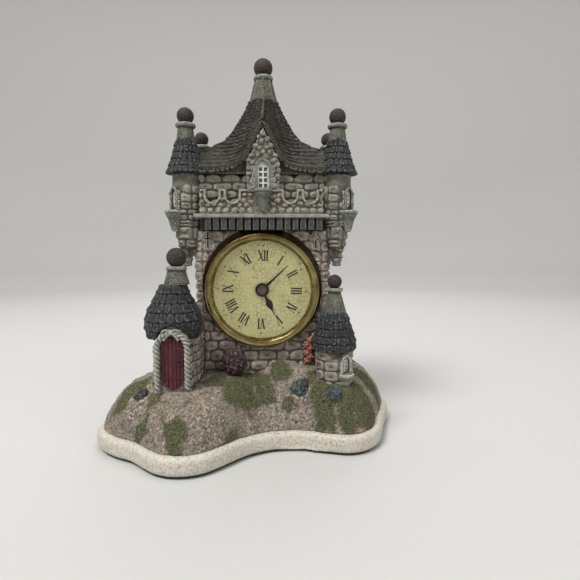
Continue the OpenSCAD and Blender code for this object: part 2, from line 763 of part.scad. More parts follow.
module corner_turret_balls() {
    color("saddlebrown") at_turrets()
        translate([0, 0, eave_z + turret_roof_h + turret_cap_h + turret_collar_t])
            seated_ball(turret_ball_r);
}

// Cross-shaped arrow loops in clover-headed frames, high on the shaft's front
loop_x = 33;
loop_drop = 6.1;
loop_z = shaft_top - loop_drop;
loop_h = 11.6;
loop_w = 8;
loop_lobe_r = 2.4;
loop_t = 1;
slot_w = 1;
slot_arm = 2.2;

module arrow_loops() {
    head = loop_h / 2 - loop_lobe_r;
    color("gray") for (side = [-1, 1]) translate([side * loop_x, 0, loop_z])
        upright(-half_d - loop_t, loop_t) difference() {
            union() {
                translate([0, head]) circle(loop_lobe_r);
                for (x = [-1, 1]) translate([x * (loop_w / 2 - loop_lobe_r), head - loop_lobe_r])
                    circle(loop_lobe_r);
                translate([-loop_w / 4, -loop_h / 2]) square([loop_w / 2, loop_h - loop_lobe_r]);
            }
            translate([-slot_w / 2, -loop_h / 2 + slot_w]) square([slot_w, loop_h - 2 * slot_w]);
            translate([-slot_arm, head - loop_lobe_r - slot_w / 2]) square([2 * slot_arm, slot_w]);
        }
}

// Porch: a round turret with a pointed portal in front, joined to the tower by a neck of wall
porch_lean = 1.4;
portal_w = 20;
portal_out = 14.6;
portal_rise = 13;
portal_h = 40;
portal_y = -porch_y - portal_out;
door_step = 4.5;
door_t = 1.2;
door_depth = 1.8;
door_rise = 8;
neck_w = 12.5;
round_course_h = 4.6;
neck_in = 5.5;
porch_door_x = -porch_x + porch_lean;

module portal_shape(grow) {
    translate([0, -grow]) arch(portal_w + 2 * grow, portal_h + 2 * grow, portal_rise + grow);
}

// A neck of wall from a turret to the tower's corner; neck_in is how far it reaches in from the tower's side
module neck(side, y, h, grow) {
    translate([side * (half_w - neck_in + neck_w / 2) - neck_w / 2 - grow, y, seat_z])
        cube([neck_w + 2 * grow, tower_r - half_d - y, h]);
}

module necked_turret(x, y, r, h) {
    difference() {
        union() {
            translate([x, y, seat_z]) coursed_round(r, h, round(h / round_course_h));
            neck(sign(x), y, h, 0);
        }
        tower_block(fit, seat_z - over, shaft_h);
    }
}

module porch_turret() {
    color("rosybrown") difference() {
        union() {
            necked_turret(-porch_x, -porch_y, porch_r, porch_wall_h);
            translate([porch_door_x, 0, seat_z]) upright(portal_y, portal_out) portal_shape(0);
        }
        translate([porch_door_x, 0, seat_z + door_step]) upright(portal_y - over, over + door_depth)
            arch(door_w + 2 * window_gap, door_h + window_gap, door_rise);
    }
}

module porch_door() {
    color("brown") translate([porch_door_x, 0, seat_z + door_step])
        upright(portal_y + door_depth - door_t, door_t) arch(door_w, door_h, door_rise);
}

strap_w = 1.2;
strap_t = 0.4;
strap_place_shares = [0.18, 0.72];
ring_r = 1.5;
ring_wire_r = 0.35;
ring_x_share = 0.32;
ring_z_share = 0.48;

module door_furniture() {
    face_y = portal_y + door_depth - door_t;
    color("black") translate([porch_door_x, 0, seat_z + door_step]) {
        for (s = strap_place_shares)
            translate([-door_w / 2 + fit, face_y - strap_t, s * door_h])
                cube([door_w - 2 * fit, strap_t, strap_w]);
        translate([door_w * ring_x_share, face_y - ring_wire_r, door_h * ring_z_share]) rotate([90, 0, 0])
            rotate_extrude() translate([ring_r, 0]) circle(ring_wire_r);
    }
}

rope_w = 3;
rope_t = 2.2;
bow_r = 1.7;
bow_reach = 3.4;

module rope_arch() {
    color("lightgray") translate([porch_door_x, portal_y, seat_z + door_step]) {
        upright(-rope_t, rope_t) difference() {
            arch(door_w + 2 * rope_w, door_h + rope_w, door_rise + rope_w);
            translate([0, -over]) arch(door_w + 2 * window_gap, door_h + window_gap + over, door_rise);
        }
        for (x = [-bow_reach, 0, bow_reach]) translate([x, -rope_t, door_h + rope_w - bow_r])
            intersection() {
                sphere(bow_r);
                translate([-bow_r, -bow_r, -bow_r]) cube([2 * bow_r, bow_r, 2 * bow_r]);
            }
    }
}

porch_roof_shares = [0.93, 0.99, 1, 0.97, 0.84, 0.68, 0.55, 0.46];
porch_courses = 6;
porch_roof_lean = 0.8;
porch_cap_low_share = 0.46;
porch_cap_high_r = 5.1;
porch_collar_r = 5.9;
porch_collar_t = 2.4;
porch_eave_z = seat_z + porch_wall_h;
porch_cap_x = -porch_x + porch_lean;

module porch_roof() {
    color("darkslategray") difference() {
        translate([-porch_x - porch_roof_lean, -porch_y, porch_eave_z])
            tiled_roof(porch_roof_shares * porch_roof_r, porch_roof_h, porch_courses, tile_lip);
        translate([porch_door_x, 0, seat_z]) upright(portal_y - 2 * portal_out, 3 * portal_out + fit)
            portal_shape(fit);
    }
}

module porch_cap() {
    color("slategray") translate([porch_cap_x, -porch_y, porch_eave_z + porch_roof_h])
        lead_cap(porch_roof_r * porch_cap_low_share, porch_cap_high_r, porch_cap_h, porch_collar_r,
            porch_collar_t);
}

module porch_ball() {
    color("saddlebrown") translate([porch_cap_x, -porch_y,
        porch_eave_z + porch_roof_h + porch_cap_h + porch_collar_t]) seated_ball(porch_ball_r);
}

// Garden turret
garden_window_w = 5;
garden_window_h = 9.6;
garden_window_rise = 3.8;
garden_frame_w = 1.5;
garden_turn = 34;
garden_sill_r = 4.8;
garden_bowl_h = 5.5;
garden_window_z = seat_z + 2 * seat_depth;
garden_flat = flat_at(garden_r, garden_window_w / 2 + garden_frame_w);
garden_roof_shares = [1, 0.98, 0.93, 0.86, 0.79, 0.71, 0.63, 0.55];
garden_courses = 5;
garden_cap_high_r = 3.5;
garden_collar_r = 5;
garden_collar_t = 2;
garden_eave_z = seat_z + garden_wall_h;

module at_garden_window() {
    translate([garden_x, -garden_y, garden_window_z]) rotate([0, 0, garden_turn])
        translate([0, -garden_flat, 0]) children();
}

module garden_turret() {
    color("rosybrown") difference() {
        necked_turret(garden_x, -garden_y, garden_r, garden_wall_h);
        at_garden_window() {
            translate([-garden_sill_r - over, -garden_r, -sill_t - garden_bowl_h])
                cube([2 * (garden_sill_r + over), garden_r, sill_t + garden_bowl_h + garden_wall_h]);
            upright(-over, over + window_depth) arch(garden_window_w, garden_window_h, garden_window_rise);
        }
    }
}

module garden_window_frame() {
    color("lightgray") at_garden_window() {
        surround(garden_window_w, garden_window_h, garden_window_rise, garden_frame_w, frame_out);
        sill(garden_sill_r, sill_t);
        intersection() {
            translate([0, 0, -sill_t]) bowl(garden_sill_r, garden_bowl_h);
            translate([-garden_sill_r, -garden_sill_r, -sill_t - garden_bowl_h])
                cube([2 * garden_sill_r, garden_sill_r, garden_bowl_h]);
        }
    }
}

module garden_lattice() {
    at_garden_window() translate([0, window_depth, 0])
        lattice(garden_window_w - 2 * window_gap, garden_window_h - window_gap,
            garden_window_rise - window_gap, 2, 3, lattice_bar, lattice_t);
}

module garden_roof() {
    color("darkslategray") translate([garden_x, -garden_y, garden_eave_z])
        tiled_roof(garden_roof_shares * garden_eave_r, garden_roof_h, garden_courses, tile_lip);
}

module garden_cap() {
    color("slategray") translate([garden_x, -garden_y, garden_eave_z + garden_roof_h])
        lead_cap(garden_eave_r * garden_roof_shares[7], garden_cap_high_r, garden_cap_h, garden_collar_r,
            garden_collar_t);
}

module garden_ball() {
    color("saddlebrown") translate([garden_x, -garden_y,
        garden_eave_z + garden_roof_h + garden_cap_h + garden_collar_t]) seated_ball(garden_ball_r);
}

// Shrubs: each row has the place, the radius and the height of the seat of one clipped bush

shrub_r = 6.9;
wall_shrub_shares = [-0.4, -1.2, 1, 1.038];
hill_shrub_shares = [[0.269, -0.542, 0.71, 0.753], [-0.704, -0.625, 0.55, 0.737],
    [0.502, -0.641, 0.52, 0.795]];
function shrub_row(s, x, y) = [s[0] * x, s[1] * y, s[2] * shrub_r, s[3] * shoulder_z];
shrub_table = [shrub_row(wall_shrub_shares, half_w, half_d),
    for (s = hill_shrub_shares) shrub_row(s, s[0] > 0 ? base_right : base_left, base_front)];
shrub_sink_share = 0.5;

module shrubs() {
    color("darkolivegreen") difference() {
        for (s = shrub_table) translate([s[0], s[1], s[3]]) intersection() {
            translate([0, 0, s[2] * (1 - shrub_sink_share / 2)]) sphere(s[2]);
            translate([-s[2], -s[2], 0]) cube([2 * s[2], 2 * s[2], 2 * s[2]]);
        }
        tower_block(fit, seat_z - over, shaft_h);
    }
}

// Climbing roses: a stack of blossoms against the front wall
rose_r = 2.3;
rose_side = 3.4;
rose_x = garden_x - garden_r - rose_side;
rose_y = -half_d - rose_r - fit;
rose_rise = 5;
rose_z = shoulder_z + rose_rise;
rose_spread = 0.9;
rose_count = 6;
rose_pitch_share = 1.15;

module climbing_roses() {
    color("coral") difference() {
        union() {
            translate([rose_x, rose_y, rose_z]) cylinder(r = rose_r / 2, h = rose_count * rose_r);
            for (i = [0:rose_count - 1])
                translate([rose_x + rose_spread * (i % 2 == 0 ? 1 : -1), rose_y,
                    rose_z + rose_r + i * rose_r * rose_pitch_share]) sphere(rose_r);
        }
        tower_block(fit, seat_z - over, shaft_h);
    }
}

// The clock. Depths are counted backwards from the dial's back, at dial_y.

seat_gap = 0.1;
bezel_y = recess_y - seat_gap;
dial_depth = 4.6;
dial_t = 0.5;
dial_y = bezel_y - bezel_h + dial_depth + dial_t;
dial_lap = 1.6;
rim_w = 3.4;
rim_r = bezel_d / 2 - rim_w;
opening_r = rim_r - 2 * seat_gap;
dial_edge_r = rim_r - dial_lap;
lens_t = 0.9;
lens_depth = 0.5;
lens_r = rim_r + fit;
dial_r = rim_r - 4 * seat_gap;
shell_t = 1.5;
band_t = 1.64;
case_r = bore_d / 2 - band_gap - band_t;
inner_r = case_r - shell_t;
case_back = bezel_y - dial_y + case_h;
back_t = 2;
band_h = 8;
band_back = 4;
shaft_play = 0.08;

module layer(depth, thickness) {
    translate([0, 0, axis_z]) upright(dial_y + depth, thickness) children();
}

// Turned pieces on the clock's axis: X is the radius, and Y the depth behind the dial's back
module turned() {
    along_axis(dial_y) rotate_extrude($fn = 96) children();
}

module bezel() {
    r = bezel_d / 2;
    front = bezel_y - bezel_h - dial_y;
    back = bezel_y - dial_y;
    color("gold") turned() polygon([
        [rim_r + seat_gap, back], [rim_r + seat_gap, -dial_t], [dial_edge_r, -dial_t],
        [opening_r - seat_gap, front + lens_depth + lens_t + seat_gap],
        [lens_r + seat_gap / 2, front + lens_depth + lens_t + seat_gap],
        [lens_r + seat_gap / 2, front + lens_depth],
        [opening_r, front + lens_depth], [opening_r, front + lens_depth / 2],
        [opening_r + lens_depth, front], [r - 2 * lens_depth, front], [r - lens_depth / 2, front + lens_t],
        [r, front + 2 * lens_t], [r, back]]);
}

module lens() {
    color("white", 0.3) layer(bezel_y - bezel_h - dial_y + lens_depth, lens_t) circle(lens_r, $fn = 96);
}

module dial() {
    color("khaki") layer(-dial_t, dial_t) difference() {
        circle(dial_r, $fn = 96);
        circle(hour_pipe_r + 4 * shaft_play);
    }
}

module insert_case() {
    color("dimgray") difference() {
        turned() polygon([
            [case_r - shell_t, 0], [rim_r, 0], [rim_r, bezel_y - dial_y], [case_r, bezel_y - dial_y],
            [case_r, case_back], [0, case_back], [0, case_back - back_t],
            [case_r - shell_t, case_back - back_t]]);
        layer(case_back - back_t - over, back_t + 2 * over) {
            translate(cell_at) square(cell_d + 2 * door_ledge - door_ledge, center = true);
            translate(set_at) circle(knob_stem_r + 2 * shaft_play);
        }
        layer(case_back - door_plate_t - shaft_play, door_plate_t + shaft_play + over)
            translate(cell_at) square(door_plate_w + 2 * shaft_play, center = true);
    }
}

module grip_band() {
    color("black") turned() translate([case_r, bezel_y - dial_y + band_back])
        square([band_t, band_h]);
}

// Battery, its door and its contacts
cell_d = 11.6;
cell_t = 5.2;
cell_place_shares = [-0.48, -0.443];
cell_at = inner_r * cell_place_shares;
door_ledge = 1.2;
door_plate_w = cell_d + 2 * door_ledge + 1;
door_plate_t = 1.3;
contact_t = 0.3;
contact_w = 3;
cell_back = case_back - back_t - 2 * shaft_play;

module battery_door() {
    color("dimgray") layer(case_back - door_plate_t, door_plate_t) translate(cell_at) difference() {
        square(door_plate_w, center = true);
        translate([0, -door_plate_w / 2]) circle(door_ledge);
    }
}

module battery() {
    color("silver") layer(cell_back - cell_t, cell_t) translate(cell_at) circle(d = cell_d);
}

module battery_contacts() {
    side = cell_at[0] - cell_d / 2 - contact_t;
    color("goldenrod") {
        layer(back_plate_depth - contact_t, contact_t)
            translate([cell_at[0] - contact_w / 2, cell_at[1] - contact_w / 2])
                square([contact_w, board_at[1] - board_h / 2 - cell_at[1] + contact_w / 2]);
        layer(back_plate_depth - contact_t, cell_back - back_plate_depth)
            translate([side, cell_at[1] - contact_w / 2]) square([contact_t, contact_w]);
    }
}

// Gears. Each is a flat outline of teeth, cut clear enough to run past its mate.

tooth_root_share = 0.6;
tooth_tip_share = 0.22;
tooth_out_share = 0.8;
tooth_in_share = 1.15;

module gear(teeth, size) {
    pitch = 360 / teeth;
    r = teeth * size / 2;
    polygon([for (i = [0:teeth - 1]) each [
        for (k = [[-1, 0], [-1, 1], [1, 1], [1, 0]])
            let (angle = pitch * (i + k[0] * (k[1] == 1 ? tooth_tip_share : tooth_root_share) / 2),
                reach = k[1] == 1 ? r + size * tooth_out_share : r - size * tooth_in_share)
            reach * [cos(angle), sin(angle)]]]);
}

// Turn of a gear that meshes, at a bearing seen from its driver, with a driver turned by turn
function meshed(turn, driver_teeth, teeth, bearing) =
    bearing + 180 - (180 - (bearing - turn) * driver_teeth) / teeth;
function at_bearing(from, distance, bearing) = from + distance * [cos(bearing), sin(bearing)];

module wheel(at, turn, teeth, size, depth, thickness) {
    layer(depth, thickness) translate(at) rotate(turn) gear(teeth, size);
}
module arbor(at, r, depth, length) {
    layer(depth, length) translate(at) circle(r, $fn = 32);
}

// Motion work, in front of the movement's plate: its two pairs share one centre distance
motion_size = 0.25;
motion_distance = motion_size * (cannon_teeth + minute_teeth) / 2;
hour_size = 2 * motion_distance / (minute_pinion_teeth + hour_teeth);
minute_bearing = -45;
minute_at = at_bearing([0, 0], motion_distance, minute_bearing);
set_at = at_bearing(minute_at, motion_distance, minute_bearing);
minute_turn = meshed(0, cannon_teeth, minute_teeth, minute_bearing);
hour_turn = meshed(minute_turn, minute_pinion_teeth, hour_teeth, minute_bearing + 180);
set_turn = meshed(minute_turn, minute_teeth, cannon_teeth, minute_bearing);
pipe_r = 1.1;
pipe_tip_r = 0.9;
hour_pipe_r = 1.7;
hour_depth = 0.5;
hour_wheel_t = 0.5;
minute_depth = 1.5;
minute_wheel_t = 0.5;
plate_depth = 2.6;
plate_t = 1.2;
back_plate_depth = 9.4;
back_plate_t = 1.2;
stud_r = 0.5;
arbor_r = 0.35;
knob_stem_r = 0.6;
knob_r = 4;
knob_h = 2.5;
knob_gap = 0.3;
hour_hand_depth = -1.3;
minute_hand_depth = -2.2;
hand_t = 0.3;
cap_r = 2.65;
cap_t = 1;

// Going train, between the plates
train_size = 0.2;
drive_size = 0.25;
third_size = 0.22;
rotor_teeth = 10;
intermediate_teeth = 60;
intermediate_pinion_teeth = 10;
seconds_teeth = 50;
seconds_pinion_teeth = 8;
third_teeth = 60;
third_pinion_teeth = 8;
centre_teeth = 64;
intermediate_distance = drive_size * (intermediate_pinion_teeth + seconds_teeth) / 2;
rotor_distance = train_size * (rotor_teeth + intermediate_teeth) / 2;
third_distance = third_size * (seconds_pinion_teeth + third_teeth) / 2;
centre_size = 2 * third_distance / (third_pinion_teeth + centre_teeth);
third_bearing = 150;
intermediate_bearing = 40;
rotor_bearing = 75;
third_at = at_bearing([0, 0], third_distance, third_bearing);
intermediate_at = at_bearing([0, 0], intermediate_distance, intermediate_bearing);
rotor_at = at_bearing(intermediate_at, rotor_distance, rotor_bearing);
third_turn = meshed(0, seconds_pinion_teeth, third_teeth, third_bearing);
centre_turn = meshed(third_turn, third_pinion_teeth, centre_teeth, third_bearing + 180);
intermediate_turn = meshed(0, seconds_teeth, intermediate_pinion_teeth, intermediate_bearing);
rotor_turn = meshed(intermediate_turn, intermediate_teeth, rotor_teeth, rotor_bearing);
wheel_t = 0.4;
pinion_t = 1;
centre_depth = 4.3;
third_pinion_depth = 4.1;
third_depth = 5.7;
seconds_pinion_depth = 5.5;
seconds_depth = 6.9;
intermediate_pinion_depth = 6.6;
intermediate_depth = 8.1;
rotor_pinion_depth = 7.9;
magnet_r = 3;
magnet_depth = 4.2;
magnet_t = 3;
end_play = 0.1;

module cannon_pinion() {
    front = minute_hand_depth - hand_t;
    color("silver") difference() {
        union() {
            arbor([0, 0], pipe_tip_r, front, minute_depth - front);
            arbor([0, 0], pipe_r, minute_hand_depth + 2 * hand_t,
                minute_depth - minute_hand_depth - 2 * hand_t);
            wheel([0, 0], 0, cannon_teeth, motion_size, minute_depth - hand_t, minute_wheel_t + 2 * hand_t);
        }
        arbor([0, 0], arbor_r + shaft_play, minute_depth - hand_t, plate_depth);
    }
}

module minute_wheel() {
    color("goldenrod") difference() {
        union() {
            wheel(minute_at, minute_turn, minute_teeth, motion_size, minute_depth, minute_wheel_t);
            wheel(minute_at, minute_turn, minute_pinion_teeth, hour_size, hour_depth - end_play,
                minute_depth - hour_depth + end_play);
        }
        arbor(minute_at, stud_r + shaft_play, 0, plate_depth);
    }
}

module hour_wheel() {
    front = hour_hand_depth - end_play;
    color("goldenrod") difference() {
        union() {
            arbor([0, 0], hour_pipe_r, front, hour_depth - front);
            wheel([0, 0], hour_turn, hour_teeth, hour_size, hour_depth, hour_wheel_t);
        }
        arbor([0, 0], pipe_r + shaft_play, front - over, hour_depth - front + 2 * over);
    }
}

module set_knob() {
    stem_end = case_back + knob_gap;
    color("dimgray") {
        wheel(set_at, set_turn, cannon_teeth, motion_size, minute_depth - hand_t,
            minute_wheel_t + 2 * hand_t);
        arbor(set_at, knob_stem_r, minute_depth, stem_end - minute_depth);
        layer(stem_end, knob_h) translate(set_at) circle(knob_r);
    }
}

module hand(depth, angle, boss_r, hole_r) {
    difference() {
        union() {
            arbor([0, 0], boss_r, depth, hand_t);
            layer(depth, hand_t) rotate(-angle) children();
        }
        arbor([0, 0], hole_r, depth - over, hand_t + 2 * over);
    }
}

module minute_hand() {
    color("black") hand(minute_hand_depth, minute_angle, hand_boss_r, pipe_tip_r)
        polygon([[-minute_half, 0], [-minute_half * hand_tip_share, minute_l],
            [minute_half * hand_tip_share, minute_l], [minute_half, 0]]);
}

module hour_hand() {
    color("black") hand(hour_hand_depth, hour_angle, hour_boss_r, hour_pipe_r)
        polygon([for (s = spade_shares) [s[0] * spade_w, s[1] * hour_l]]);
}

module hand_cap() {
    color("peru") layer(minute_hand_depth - cap_t, cap_t) difference() {
        circle(cap_r);
        circle(pipe_tip_r, $fn = 32);
    }
}

minute_angle = 46.5;
hour_angle = 153.5;
hand_boss_r = 4.25;
hour_boss_r = 3;
minute_half = 0.95;
hand_tip_share = 0.2;
spade_w = 4.4;
spade_shares = [[-0.2, 0], [-0.17, 0.36], [-0.5, 0.5], [-0.42, 0.62], [-0.1, 0.78], [-0.03, 1],
    [0.03, 1], [0.1, 0.78], [0.42, 0.62], [0.5, 0.5], [0.17, 0.36], [0.2, 0]];

// Plates, coil, stator and circuit board
plate_r = inner_r - fit;
board_w = 12;
board_h = 8;
board_t = 0.9;
board_place_shares = [-0.48, 0.517];
board_at = inner_r * board_place_shares;
stator_t = 0.8;
stator_depth = 4.2;
stator_hole_r = 3.5;
stator_r = 5.2;
coil_l = 16;
coil_r = 2;
coil_lap = 1.2;
leg_w = 3;
coil_rise = 7.42;
coil_at = [rotor_at[0] - leg_w, rotor_at[1] + coil_rise];

module post_holes(play) {
    for (at = [third_at, intermediate_at, rotor_at]) translate(at) circle(arbor_r + play, $fn = 32);
    translate(set_at) circle(knob_stem_r + play, $fn = 32);
}

module movement_plate() {
    color("silver") {
        layer(plate_depth, plate_t) difference() {
            circle(plate_r);
            post_holes(shaft_play);
            circle(arbor_r + shaft_play, $fn = 32);
        }
        arbor(minute_at, stud_r, hour_depth, plate_depth - hour_depth);
    }
}

module movement_back_plate() {
    color("silver") layer(back_plate_depth, back_plate_t) difference() {
        circle(plate_r);
        post_holes(shaft_play);
        circle(arbor_r + shaft_play, $fn = 32);
        translate(cell_at) circle(d = cell_d + 4 * contact_t);
    }
}

module stator() {
    half = coil_l / 2;
    color("silver") layer(stator_depth, stator_t) difference() {
        union() {
            translate(rotor_at) circle(stator_r);
            translate([coil_at[0] - half - leg_w, coil_at[1] - coil_r]) square([leg_w, 2 * coil_r]);
            translate([coil_at[0] + half, coil_at[1] - coil_r]) square([leg_w, 2 * coil_r]);
            translate([coil_at[0] - half - leg_w, rotor_at[1]]) square([leg_w, coil_at[1] - rotor_at[1]]);
            translate([coil_at[0] + half, rotor_at[1]]) square([leg_w, coil_at[1] - rotor_at[1]]);
            translate([coil_at[0] - half - leg_w, rotor_at[1] - leg_w / 2])
                square([coil_l + 2 * leg_w, leg_w]);
        }
        translate(rotor_at) circle(stator_hole_r);
    }
}

module coil() {
    color("peru")
        translate([coil_at[0] - coil_l / 2 - coil_lap, dial_y + stator_depth + stator_t + coil_r,
            axis_z + coil_at[1]])
            rotate([0, 90, 0]) cylinder(r = coil_r, h = coil_l + 2 * coil_lap);
}

module circuit_board() {
    color("darkgreen") layer(back_plate_depth - board_t, board_t) translate(board_at)
        square([board_w, board_h], center = true);
}

module rotor() {
    color("dimgray") {
        wheel(rotor_at, rotor_turn, rotor_teeth, train_size, rotor_pinion_depth, pinion_t);
        arbor(rotor_at, magnet_r, magnet_depth, magnet_t);
        arbor(rotor_at, arbor_r, plate_depth + end_play, back_plate_depth - plate_depth);
    }
}

module intermediate_wheel() {
    color("goldenrod") {
        wheel(intermediate_at, intermediate_turn, intermediate_teeth, train_size,
            intermediate_depth, wheel_t);
        wheel(intermediate_at, intermediate_turn, intermediate_pinion_teeth, drive_size,
            intermediate_pinion_depth, pinion_t);
        arbor(intermediate_at, arbor_r, plate_depth + end_play, back_plate_depth - plate_depth);
    }
}

module seconds_wheel() {
    front = centre_depth + wheel_t + 3 * end_play;
    color("goldenrod") {
        wheel([0, 0], 0, seconds_teeth, drive_size, seconds_depth, wheel_t);
        wheel([0, 0], 0, seconds_pinion_teeth, third_size, seconds_pinion_depth, pinion_t);
        arbor([0, 0], arbor_r, front, back_plate_depth + back_plate_t - end_play - front);
    }
}

module third_wheel() {
    color("goldenrod") {
        wheel(third_at, third_turn, third_teeth, third_size, third_depth, wheel_t);
        wheel(third_at, third_turn, third_pinion_teeth, centre_size, third_pinion_depth, pinion_t);
        arbor(third_at, arbor_r, plate_depth + end_play, back_plate_depth - plate_depth);
    }
}

module centre_wheel() {
    color("goldenrod") {
        wheel([0, 0], centre_turn, centre_teeth, centre_size, centre_depth, wheel_t);
        arbor([0, 0], arbor_r, minute_depth, centre_depth + wheel_t + end_play - minute_depth);
    }
}

felt_pad();
plinth();
hill();
tower_shaft();
string_course();
upper_storey();
battlement();
gable_wall();
gable_window_frame();
gable_lattice();
main_roof();
spire_cap();
spire_ball();
corner_turrets();
corner_turret_roofs();
corner_turret_caps();
corner_turret_balls();
corner_window_frames();
corner_lattices();
arrow_loops();
porch_turret();
porch_roof();
porch_cap();
porch_ball();
porch_door();
door_furniture();
rope_arch();
garden_turret();
garden_roof();
garden_cap();
garden_ball();
garden_window_frame();
garden_lattice();
shrubs();
climbing_roses();
bezel();
lens();
dial();
insert_case();
grip_band();
battery_door();
battery();
battery_contacts();
movement_plate();
movement_back_plate();
stator();
coil();
circuit_board();
rotor();
intermediate_wheel();
seconds_wheel();
third_wheel();
centre_wheel();
cannon_pinion();
minute_wheel();
hour_wheel();
set_knob();
minute_hand();
hour_hand();
hand_cap();
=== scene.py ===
import math
import random

import bmesh
import bpy
import numpy as np
from mathutils import Matrix, Vector


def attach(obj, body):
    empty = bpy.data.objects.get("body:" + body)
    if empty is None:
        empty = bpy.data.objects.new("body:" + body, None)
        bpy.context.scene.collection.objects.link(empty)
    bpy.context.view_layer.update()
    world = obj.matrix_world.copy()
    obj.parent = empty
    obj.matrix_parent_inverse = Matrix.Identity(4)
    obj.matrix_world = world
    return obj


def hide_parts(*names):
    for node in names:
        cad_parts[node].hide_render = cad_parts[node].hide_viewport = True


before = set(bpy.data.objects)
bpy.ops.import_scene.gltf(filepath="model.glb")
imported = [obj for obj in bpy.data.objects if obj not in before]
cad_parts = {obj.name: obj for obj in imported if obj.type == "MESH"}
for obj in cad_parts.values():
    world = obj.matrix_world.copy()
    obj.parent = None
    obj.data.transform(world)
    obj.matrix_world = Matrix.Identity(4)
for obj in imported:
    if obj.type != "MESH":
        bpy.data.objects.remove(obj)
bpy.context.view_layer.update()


# ---- Studio ----
# A pale floor that curves up all round like a bowl, a soft window light from the upper left, weaker lights
# from the right and from behind, and one on the bowl's far side. The camera stands where the photograph
# was taken from.

mm = 0.001


def leave():
    """Goes back to object mode."""
    bpy.ops.object.mode_set(mode="OBJECT")


def whole():
    """Selects the whole mesh in edit mode."""
    bpy.ops.mesh.select_all(action="SELECT")


def clear():
    """Leaves edit mode and deselects everything."""
    if bpy.context.mode != "OBJECT":
        leave()
    bpy.ops.object.select_all(action="DESELECT")


def take(*pieces):
    """Selects these pieces alone, the first one active."""
    clear()
    for piece in pieces:
        piece.select_set(True)
    bpy.context.view_layer.objects.active = pieces[0]
    return pieces[0]


def smoothed(piece):
    take(piece)
    bpy.ops.object.shade_smooth()


def pick(piece, kind, test):
    """Goes into edit mode with only the faces, edges or vertices that pass the test selected."""
    take(piece)
    mesh = piece.data
    for group in (mesh.vertices, mesh.edges, mesh.polygons):
        group.foreach_set("select", [False] * len(group))
    group = {"FACE": mesh.polygons, "EDGE": mesh.edges, "VERT": mesh.vertices}[kind]
    group.foreach_set("select", [bool(test(part)) for part in group])
    bpy.context.scene.tool_settings.mesh_select_mode = (kind == "VERT", kind == "EDGE", kind == "FACE")
    bpy.ops.object.mode_set(mode="EDIT")


def all_picked(piece):
    """Goes into edit mode with the whole mesh selected."""
    take(piece)
    bpy.ops.object.mode_set(mode="EDIT")
    whole()


def plain_material(name, colour, roughness):
    material = bpy.data.materials.new(name)
    material.use_nodes = True
    shader = material.node_tree.nodes["Principled BSDF"]
    shader.inputs["Base Color"].default_value = (*colour, 1)
    shader.inputs["Roughness"].default_value = roughness
    return material


EYE = (0.0115, -0.3003, 0.1095)
TILT, PAN, LENS = 4.6, -1.2, 27.06
bpy.ops.object.camera_add(location=EYE, rotation=(math.radians(90 - TILT), 0, math.radians(PAN)))
camera = bpy.context.object
camera.data.lens = LENS
camera.data.sensor_width = 36
camera.data.clip_start = 0.01
bpy.context.scene.camera = camera

bpy.ops.mesh.primitive_circle_add(vertices=96, radius=1.2, fill_type="NGON", location=(0, 0, 0))
studio = bpy.context.object
studio.name = "studio_floor"
for reach, rise in ((1.5, 0.05), (1.7, 0.2), (1.82, 0.45), (1.86, 0.8), (1.88, 1.6)):
    top = max(v.co.z for v in studio.data.vertices)
    pick(studio, "VERT", lambda v: v.co.xy.length > 1.1 and v.co.z > top - 0.001)
    bpy.ops.mesh.extrude_region_move(TRANSFORM_OT_translate={"value": (0, 0, rise - top)})
    width = reach / max(v.co.xy.length for v in studio.data.vertices)
    bpy.ops.transform.resize(value=(width, width, 1), center_override=(0, 0, 0))
    leave()
smoothed(studio)
studio.data.materials.append(plain_material("studio_pale", (0.58, 0.575, 0.56), 0.8))

for name, place, size, power, aim in (("window_light", (-0.5, -0.62, 1.15), 0.5, 15.5, (0, 0, 0.1)),
                                      ("fill_light", (0.75, -0.7, 0.7), 0.9, 4, (0, 0, 0.1)),
                                      ("back_light", (0.1, 0.9, 1.1), 0.9, 4, (0, 0, 0.1)),
                                      ("wall_light", (0, 0.5, 1.5), 1.2, 12, (0, 1.8, 0.5))):
    bpy.ops.object.light_add(type="AREA", location=place)
    lamp = bpy.context.object
    lamp.name = name
    lamp.data.size = size
    lamp.data.energy = power
    lamp.rotation_euler = (Vector(aim) - Vector(place)).to_track_quat("-Z", "Y").to_euler()
world = bpy.data.worlds.new("studio_air")
bpy.context.scene.world = world
world.use_nodes = True
air = world.node_tree.nodes["Background"].inputs
air["Color"].default_value = (0.62, 0.65, 0.7, 1)
air["Strength"].default_value = 0.5
bpy.context.scene.view_settings.view_transform = "Standard"


# ---- Felt pad ----
# A dark green felt, cut to the outline of the base and glued under it. Its edge shows as a thin line.

def link(material, start, end):
    material.node_tree.links.new(start, end)


def painted(name, colour, roughness=0.6):
    """A material with its Principled shader and object coordinates, ready for more nodes."""
    material = plain_material(name, colour, roughness)
    tree = material.node_tree
    place = tree.nodes.new("ShaderNodeTexCoord")
    return material, tree, tree.nodes["Principled BSDF"], place.outputs["Object"]


def node_of(tree, kind, **values):
    """A new node with values or sockets given to its inputs by name."""
    node = tree.nodes.new("ShaderNode" + kind)
    for key, value in values.items():
        socket = node.inputs[key.replace("_", " ")]
        if isinstance(value, bpy.types.NodeSocket):
            tree.links.new(value, socket)
        else:
            socket.default_value = value
    return node


def noise(tree, place, scale, detail=3.0, roughness=0.55):
    return node_of(tree, "TexNoise", Scale=scale, Detail=detail, Roughness=roughness,
                   Vector=place).outputs["Fac"]


